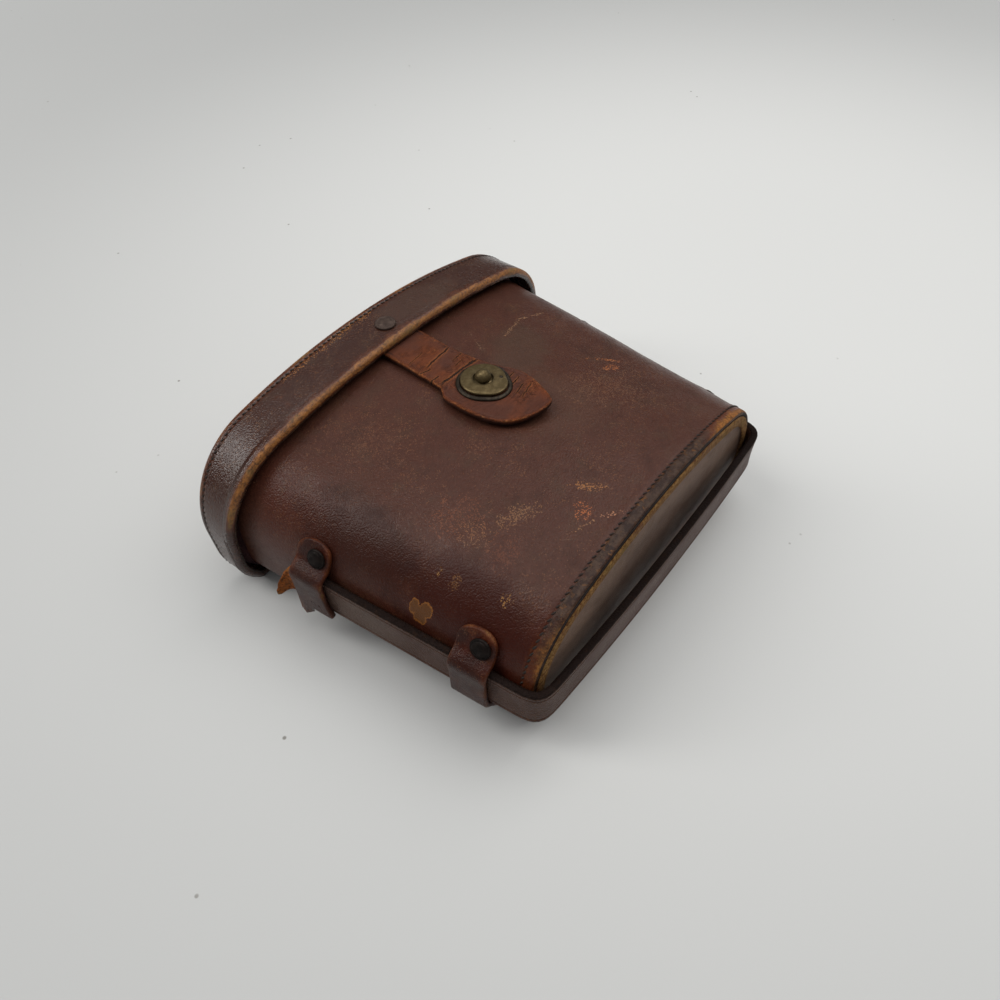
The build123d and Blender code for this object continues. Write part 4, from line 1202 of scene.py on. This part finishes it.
# ---------------------------------------------------------------------------------------------
# Latch tab. A tongue of soft leather riveted up inside the lid's rim. Years of bending have cracked
# its neck across and worn the dye off to bright tan; the tip has lifted.
# ---------------------------------------------------------------------------------------------
tab_thickness = 2.5
tab_middle = case_depth + moving_gap + tab_thickness / 2
tab_near = (
    (-10.2, 66.0), (-10.2, 56.0), (-10.3, 46.0), (-10.7, 37.0), (-11.0, 30.0), (-11.4, 26.6), (-12.6, 25.0),
    (-14.6, 23.0), (-15.6, 19.0), (-15.9, 13.5), (-15.7, 8.0), (-14.6, 2.8), (-12.2, -2.2), (-8.6, -6.4),
    (-4.0, -9.6), (0.6, -11.4), (4.6, -11.6),
)
tab_far = (
    (7.4, -9.9), (9.8, -6.9), (12.2, -2.2), (13.9, 3), (14.4, 8), (13.6, 12.6), (11.9, 17.2), (10.5, 22),
    (9.7, 27), (9, 33), (8.8, 40), (9, 48), (9.4, 56), (9.8, 66),
)
tab_splits = (
    (-0.2, 27.1, 11.6, -3, 0.62), (0.9, 38.9, 8.2, 5, 0.48), (-8.3, 37.2, 2.6, -24, 0.40),
    (5.8, 33.2, 3.4, 8, 0.26), (-5.2, 45.2, 4.6, 4, 0.24), (-9.6, 31.6, 2.6, -10, 0.42),
    (7.9, 7.2, 3.4, 3, 0.30), (5.8, 3.2, 3.4, 14, 0.30), (6.8, 0.6, 4.8, 13, 0.26),
    (9.4, 10.4, 2.6, 4, 0.24), (3.2, 30.6, 2.4, 10, 0.22),
)
tip = smooth_path((tab_near[-1], (6.2, -11.0), tab_far[0]), 0.5, 0.5)
top_end = [(x, 66.6) for x in np.linspace(9.4, -9.8, 18)]
outline = np.vstack([smooth_path(tab_near, 0.6, 0.7), tip[1:-1], smooth_path(tab_far, 0.6, 0.9), top_end])
for place in outline:
    x, y = place
    place += 0.20 * noise.noise((x * 0.6, y * 0.6, 3.0)) + 0.10 * noise.noise((x * 2.0, y * 2.0, 5.0))
spine_y = clip(outline[:, 1], 0.5, 60.0)
spine = np.stack([np.interp(spine_y, [-12, 8, 24, 40, 66], [3.2, -0.8, -0.6, -0.7, -0.2]), spine_y], 1)
front_reach = (rim_half_width - shoulder) ** 2 + (case_depth - waist_height) ** 2
front_radius = (front_reach - shoulder**2) / (2 * front_bow)


def lay_tab(flat, w):
    """Lays the tab over the bowed front, its neck dished, its near edge and its tip lifted."""
    x, y = flat.T
    drop = x**2 / (2 * front_radius) * clip((50 - y) / 10)
    tip_lift = 2.2 * clip((-1.0 - y) / 10, 0, 1.3) ** 2
    near_lift = 1.4 * clip((-x - 7.5) / 8) ** 2 * clip((24 - y) / 8)
    far_lift = 0.35 * clip((x - 8) / 7) ** 2 * clip((20 - y) / 8)
    fold = -0.28 * np.exp(-(((y - 25.6 - 0.12 * x) / 0.55) ** 2)) * (w > 0)
    buckle = 0.16 * np.array([noise.noise((a * 0.16, b * 0.22, 9.0)) for a, b in flat]) * clip((50 - y) / 6)
    off_plate = np.hypot(x, y - 15.8) >= 12
    under_lid = -0.15 * clip((y - 54) / 4)
    z = tab_middle + w - drop + tip_lift + near_lift + far_lift + fold + buckle * off_plate + under_lid
    return np.stack([x, y, z], 1)


def carry_tab(rings, insets, sides):
    """The tab's wear, redness and dirt: bare down its neck and at its tip, dark round the plate."""
    rough = lumps(rings, 7.0, 1.7)
    x, y, z = np.moveaxis(rings, -1, 0)
    bare = 0.42 * np.exp(-(((y - 40) / 15) ** 2)) + 0.55 * np.exp(-(((x - 7) / 8) ** 2 + (y / 7) ** 2))
    bare += 0.35 * np.exp(-(((x + 6) / 6) ** 2 + ((y - 20) / 6) ** 2))
    round_plate = 0.5 * np.exp(-(((np.hypot(x, y - 14.6) - 11.0) / 1.1) ** 2))
    dark_edge = 1.1 * (insets < 0.8) * clip(0.6 - sides)
    return {
        "worn": bare * 0.55 + at_edge(insets, 1.0) * (sides > 0.55) * 0.75 + 0.22 * rough,
        "red": 0.45 + 0.3 * rough + bare * 0.2,
        "grimy": crease(insets, 1.5) * 0.42 + round_plate + 0.35 * (y > 53) + dark_edge,
    }


tongue = Finish("tab_leather")
grade, plus, times, most, swing = tongue.grade, tongue.plus, tongue.times, tongue.most, tongue.swing
across = tongue.step(
    "Mapping", {"Vector": tongue.place, "Rotation": (0, 0, radians(-6)), "Scale": (0.30, 1.0, 0.6)})
pulled = tongue.step("TexNoise", {"Vector": tongue.place, "Scale": 300.0, "Detail": 3.0}, out="Color")
bent = tongue.step("VectorMath", {0: across, 1: pulled, 2: [0.0016] * 3}, operation="MULTIPLY_ADD")
crack, fine_crack = (tongue.cells(size, "DISTANCE_TO_EDGE", bent) for size in (0.0026, 0.0011))
drift, fibre = tongue.cloud(0.012, 5, 0.6), tongue.cloud(0.0012, 5, 0.7, across)
worn = tongue.carried("worn")
bare = plus(worn, swing(drift, 1.3))
tongue.tone = tongue.over(grade(bare, 0.0, 0.55), (84, 47, 34), (122, 62, 30))
tongue.coat(grade(bare, 0.5, 0.95, 0.0, 0.8), (156, 86, 40))
tongue.coat(grade(fibre, 0.42, 0.7, 0.0, 0.5), (58, 28, 16))
tongue.coat(times(grade(fine_crack, 0.14, 0.03), grade(bare, 0.1, 0.5, 0.0, 0.55)), (52, 24, 13))
zone = grade(plus(worn, swing(tongue.cloud(0.008, 3), 0.9)), 0.12, 0.42)
split = times(grade(crack, 0.050, 0.014), times(zone, 0.5))
torn_lip = 0.0
for x, y, reach, slant, width in tab_splits:
    spot = tongue.moved((x / 1000, y / 1000, 0.07), (0, 0, slant), (reach / 1000, width / 1000, 1.0))
    stray = swing(tongue.cloud(0.0030, 5, 0.7), 2.1 / width)
    off_line = tongue.sums("ABSOLUTE", plus(tongue.step("SeparateXYZ", {0: spot}, out="Y"), stray), 0.0)
    along_line = tongue.sums("ABSOLUTE", tongue.step("SeparateXYZ", {0: spot}, out="X"), 0.0)
    open_here = grade(along_line, 1.0, 0.72)
    split = most(split, times(grade(off_line, 1.0, 0.35), open_here))
    torn_lip = most(torn_lip, times(grade(off_line, 2.8, 1.0), open_here))
tongue.coat(times(torn_lip, 0.45), (150, 88, 46))
tongue.coat(times(split, 0.95), (22, 10, 6))
tongue.coat(grade(plus(tongue.carried("grimy"), swing(fibre, 0.8)), 0.32, 0.9, 0.0, 0.8), (36, 17, 11))
flake = grade(plus(tongue.cloud(0.0016, 5, 0.7), times(worn, 0.25)), 0.66, 0.80, 0.0, 0.6)
tongue.coat(flake, (176, 112, 66))
gloss = grade(drift, 0.3, 0.7, 0.44, 0.62)
tab_hide = tongue.close(
    {"Roughness": gloss, "Specular IOR Level": 0.22},
    (split, -0.0006), (fine_crack, 0.00014), (fibre, 0.00022))
tab = cut_piece(
    "latch_tab_leather", tab_hide, outline, spine, tab_thickness, 0.75, (2.6, 3.6, 4.8, 6.2, 8.0, 10.0, 12.0),
    lay_tab, carry_tab, dips=((1.3, 0.0), (1.5, 0.14), (1.7, 0.14), (1.9, 0.0)))
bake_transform(tab)
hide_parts("latch_tab", "tab_root")

# ---------------------------------------------------------------------------------------------
# Lid rivet. It goes through the band and the tab's root; its flat head has worn dull brown and
# stands in a slight ring-shaped dent that the punch left.
# ---------------------------------------------------------------------------------------------
tab_rivet_setback = 8.65
tab_rivet_foot = -4.7
tab_rivet_at = (0, rim_front_y + tab_rivet_setback, case_depth + band_grow + fit_gap)
tab_rivet_rows = [
    (0, 1.05), (1, 1.08), (2, 1.02), (2.6, 1), (2.8, 0.86), (3.1, 0.84), (3.4, 1), (3.9, 0.9), (4.2, 0.5),
    (4.2, 0.1), (3.8, 0), (1.6, 0), (1.5, -0.1), (1.5, 0.1 + tab_rivet_foot), (1.4, tab_rivet_foot),
    (0, tab_rivet_foot),
]
tab_rivet = turned("tab_rivet_copper", dull_copper, tab_rivet_at, (0, 0, 1), tab_rivet_rows, 0.12, 64)
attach(tab_rivet, "lid")
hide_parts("tab_rivet")

# ---------------------------------------------------------------------------------------------
# Fastener. An egg-shaped brass plate is clinched through the tab over a blackened back ring. Its
# crown is low with a rolled edge, and the ball of the release button stands in its round hole.
# ---------------------------------------------------------------------------------------------
plate_setback = 40.75
plate_y = rim_front_y - plate_setback
tab_top = case_depth + moving_gap + tab_thickness
plate_radius, nose_radius, nose_shift = 8.6, 6.6, 3.4
plate_rise = 2.5
plate_round_low, plate_round = 0.35, 0.62
button_hole = 3.75
ball_radius, flange_radius, flange_thickness = 3.05, 4.8, 0.5
spring_in, spring_out, spring_turns = 3.2, 4.7, 4


def egg_ring(grow, z, inward=0.0, count=96):
    """One ring of the egg at height z, or on its way inward to the round hole."""
    big, nose = plate_radius + grow, nose_radius + grow
    lean = asin((big - nose) / nose_shift)
    places = []
    for i in range(count):
        turn = pi / 2 + 2 * pi * i / count
        x, y = cos(turn), sin(turn)
        reach = big
        if y < -sin(lean):
            reach = big / (cos(lean) * abs(x) - sin(lean) * y)
            if reach * y < -nose_shift - nose * sin(lean):
                reach = -nose_shift * y + sqrt(max(0.0, nose**2 - (nose_shift * x) ** 2))
        reach += (button_hole - reach) * inward
        places.append((reach * x, plate_y + reach * y, z))
    return places


ring_rows = (
    (0.1, 0.12), (0.1, 0.85), (0.3, 1.0), (0.9, 0.92), (1.45, 0.62), (1.7, 0.2), (1.6, 0.1), (0.3, 0.1),
    (0.1, 0.12),
)
black_brass = old_metal("blackened_brass", (62, 52, 38), (36, 28, 20), (14, 10, 8), 0.45, 0.6)
back_ring = skin("fastener_back_ring", [egg_ring(grow, tab_top + z) for grow, z in ring_rows], black_brass)
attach(back_ring, "latch_tab")
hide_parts("fastener_ring")

plate_foot, plate_crown = tab_top + 1.15, tab_top + plate_rise
plate_rows = [(-1.7, tab_top + 0.1, 0), (-1.7, plate_foot, 0), (-0.25, plate_foot, 0)]
for a in np.linspace(0.3, pi / 2, 4):
    plate_rows.append((plate_round_low * (sin(a) - 1), plate_foot + plate_round_low * (1 - cos(a)), 0))
for a in quarter(8):
    plate_rows.append((plate_round * (cos(a) - 1), plate_crown - 0.95 + plate_round * sin(a), 0))
plate_rows += [
    (-1.0, plate_crown - 0.31 + 0.26 * sin(b * pi / 2), b) for b in (0.06, 0.2, 0.36, 0.54, 0.72, 0.88, 0.95)
]
plate_rows += [(-1.0, plate_crown - 0.09, 0.985), (-1.0, plate_crown - 0.25, 1.0), (-1.0, tab_top + 1.3, 1.0)]
plate_rows += [(-1.7, tab_top + 0.12, 0.6), (-1.7, tab_top + 0.1, 0)]
plate_rings = np.array([egg_ring(*row) for row in plate_rows])
radii = np.hypot(plate_rings[..., 0], plate_rings[..., 1] - plate_y)
plate_grime = 0.6 * clip(1 - np.abs(radii - 3.9) / 0.45) + 0.9 * (plate_rings[..., 2] < plate_foot + 0.1)
old_brass = old_metal("antique_brass", (114, 98, 67), (86, 72, 45), (36, 28, 16), 0.42, 0.75, beaten=0.04)
plate = skin("fastener_plate_brass", plate_rings, old_brass, {"grimy": plate_grime})
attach(plate, "latch_tab")
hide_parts("fastener_plate")

dot_centre = (4.6, plate_y - 4.9, plate_crown - 0.16)
dot_rows = [(0.0, 0.16), (0.35, 0.14), (0.6, 0.06), (0.72, -0.02), (0.74, -0.25), (0.0, -0.3)]
plate_dot = turned("fastener_dot_brass", black_brass, dot_centre, (0.1, -0.1, 1), dot_rows, 0.02, 24)
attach(plate_dot, "latch_tab")

button_z = plate_crown + 0.2
flange_top = tab_top + 1.55
flange_low = flange_top - flange_thickness
ball_rows = [(ball_radius * sin(a), button_z + ball_radius * cos(a)) for a in quarter(16)]
ball_rows += [(3.02, button_z - 0.4), (2.7, button_z - 0.75), (2.6, flange_top + 0.1), (2.7, flange_top)]
ball_rows += [(flange_radius - 0.1, flange_top), (flange_radius, flange_top - 0.1)]
ball_rows += [(flange_radius, flange_low + 0.1), (flange_radius - 0.1, flange_low), (0.0, flange_low)]
button = turned("release_button_brass", old_brass, (0, plate_y, 0), (0, 0, 1), ball_rows, 0.05)
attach(button, "release_button")
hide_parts("release_button")

spring_low, spring_high = tab_top + 0.05, flange_low - 0.05
rise = (spring_high - spring_low) / spring_turns / 2
spring_rows = [((spring_out, spring_in)[k % 2], spring_low + rise * k) for k in range(2 * spring_turns)]
spring_rows += [(spring_out, spring_high), (spring_in - 0.1, spring_high - 0.02)]
spring_rows += [(spring_in - 0.1, spring_low), (spring_out, spring_low)]
spring = turned("button_spring_steel", black_brass, (0, plate_y, 0), (0, 0, 1), spring_rows, spin=40)
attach(spring, "latch_tab")
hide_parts("button_spring")
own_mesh(spring)

for node in ("clinch_plate", "catch_post", "post_washer"):
    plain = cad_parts[node]
    bright = Finish(f"{node}_metal")
    bright.place = bright.step("TexCoord", {}, out="Object")
    cast = bright.cloud(0.002, 5, 0.6)
    bright.tone = bright.over(bright.grade(cast, 0.35, 0.65), (112, 92, 58), (60, 46, 30))
    gloss = bright.grade(cast, 0.3, 0.7, 0.35, 0.55)
    plain.data.materials.clear()
    plain.data.materials.append(bright.close({"Metallic": 0.85, "Roughness": gloss}, (cast, 0.0001)))

# ---------------------------------------------------------------------------------------------
# Hinge. A broad strip of the same hide, thinned and let into the backs of case and lid, held by
# six flush rivets; it folds along the mouth.
# ---------------------------------------------------------------------------------------------
leaf_half_width, leaf_thickness, leaf_corner = 45.0, 1.8, 1.2
leaf_length_case, leaf_length_lid = 20.0, 7.6
leaf_rivet_spacing = 36.0
leaf_rivet_radius, leaf_rivet_head, leaf_shank_radius = 2.4, 0.7, 1.2


def lay_leaf(flat, w):
    """Lays a leaf flat under the back, its hidden face a little rippled."""
    ripple = 0.12 * np.array([noise.noise((a * 0.08, b * 0.08, 2.0)) for a, b in flat]) * (w < 0)
    return np.stack([*flat.T, leaf_thickness / 2 + w + np.abs(ripple)], 1)


def carry_leaf(rings, insets, sides):
    """A leaf's wear, redness and dirt."""
    rough = lumps(rings, 9.0, 3.0)
    worn = at_edge(insets, 1.2) * 0.4 + 0.25 * rough
    return {"worn": worn, "red": 0.3 + 0.4 * rough, "grimy": 0.2 + 0.3 * rough}


for body, start_y, length, wall in (
    ("case", mouth_y - leaf_length_case, leaf_length_case, wall_thickness),
    ("lid", mouth_y + moving_gap, leaf_length_lid, band_thickness),
):
    low, high = start_y + fit_gap / 2, start_y + length - fit_gap / 2
    right_x, low_y, high_y = leaf_half_width - leaf_corner, low + leaf_corner, high - leaf_corner
    middles = ((right_x, low_y), (right_x, high_y), (-right_x, high_y), (-right_x, low_y))
    corners = []
    for k, (cx, cy) in enumerate(middles):
        for turn in [radians(90 * (k - 1) + 15 * step) for step in range(7)]:
            corners.append((cx + leaf_corner * cos(turn), cy + leaf_corner * sin(turn)))
    corners = np.array(corners + corners[:1])
    run = run_along(corners)
    outline = read_at(np.linspace(0, run[-1], 240, endpoint=False), run, corners)
    spine_x = clip(outline[:, 0], length / 2 - leaf_half_width, leaf_half_width - length / 2)
    spine = np.stack([spine_x, (low + high) / 2 + 0 * spine_x], 1)
    leaf = cut_piece(
        f"hinge_leaf_{body}_leather", keeper_hide, outline, spine, leaf_thickness, 0.5, (1.2, 2.2, 3.2),
        lay_leaf, carry_leaf)
    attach(leaf, body)
    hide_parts(f"hinge_leaf_{body}")
    rows = [(0, 0), (1.1, -0.02), (2, -0.05), (leaf_rivet_radius - 0.1, -0.12), (leaf_rivet_radius, -0.25)]
    rows += [(leaf_rivet_radius, 0.02 - leaf_rivet_head), (leaf_shank_radius + 0.1, -leaf_rivet_head)]
    rows += [(leaf_shank_radius, -leaf_rivet_head - 0.1), (leaf_shank_radius, 0.1 - wall)]
    rows += [(leaf_shank_radius - 0.1, -wall), (0.0, -wall)]
    for place_name, x in (("near", -leaf_rivet_spacing), ("middle", 0.0), ("far", leaf_rivet_spacing)):
        centre = (x, start_y + length / 2, fit_gap)
        rivet = turned(
            f"hinge_rivet_{body}_{place_name}_copper", dark_copper, centre, (0, 0, -1), rows, 0.03, 40)
        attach(rivet, body)
        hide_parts(f"hinge_rivet_{body}_{place_name}")
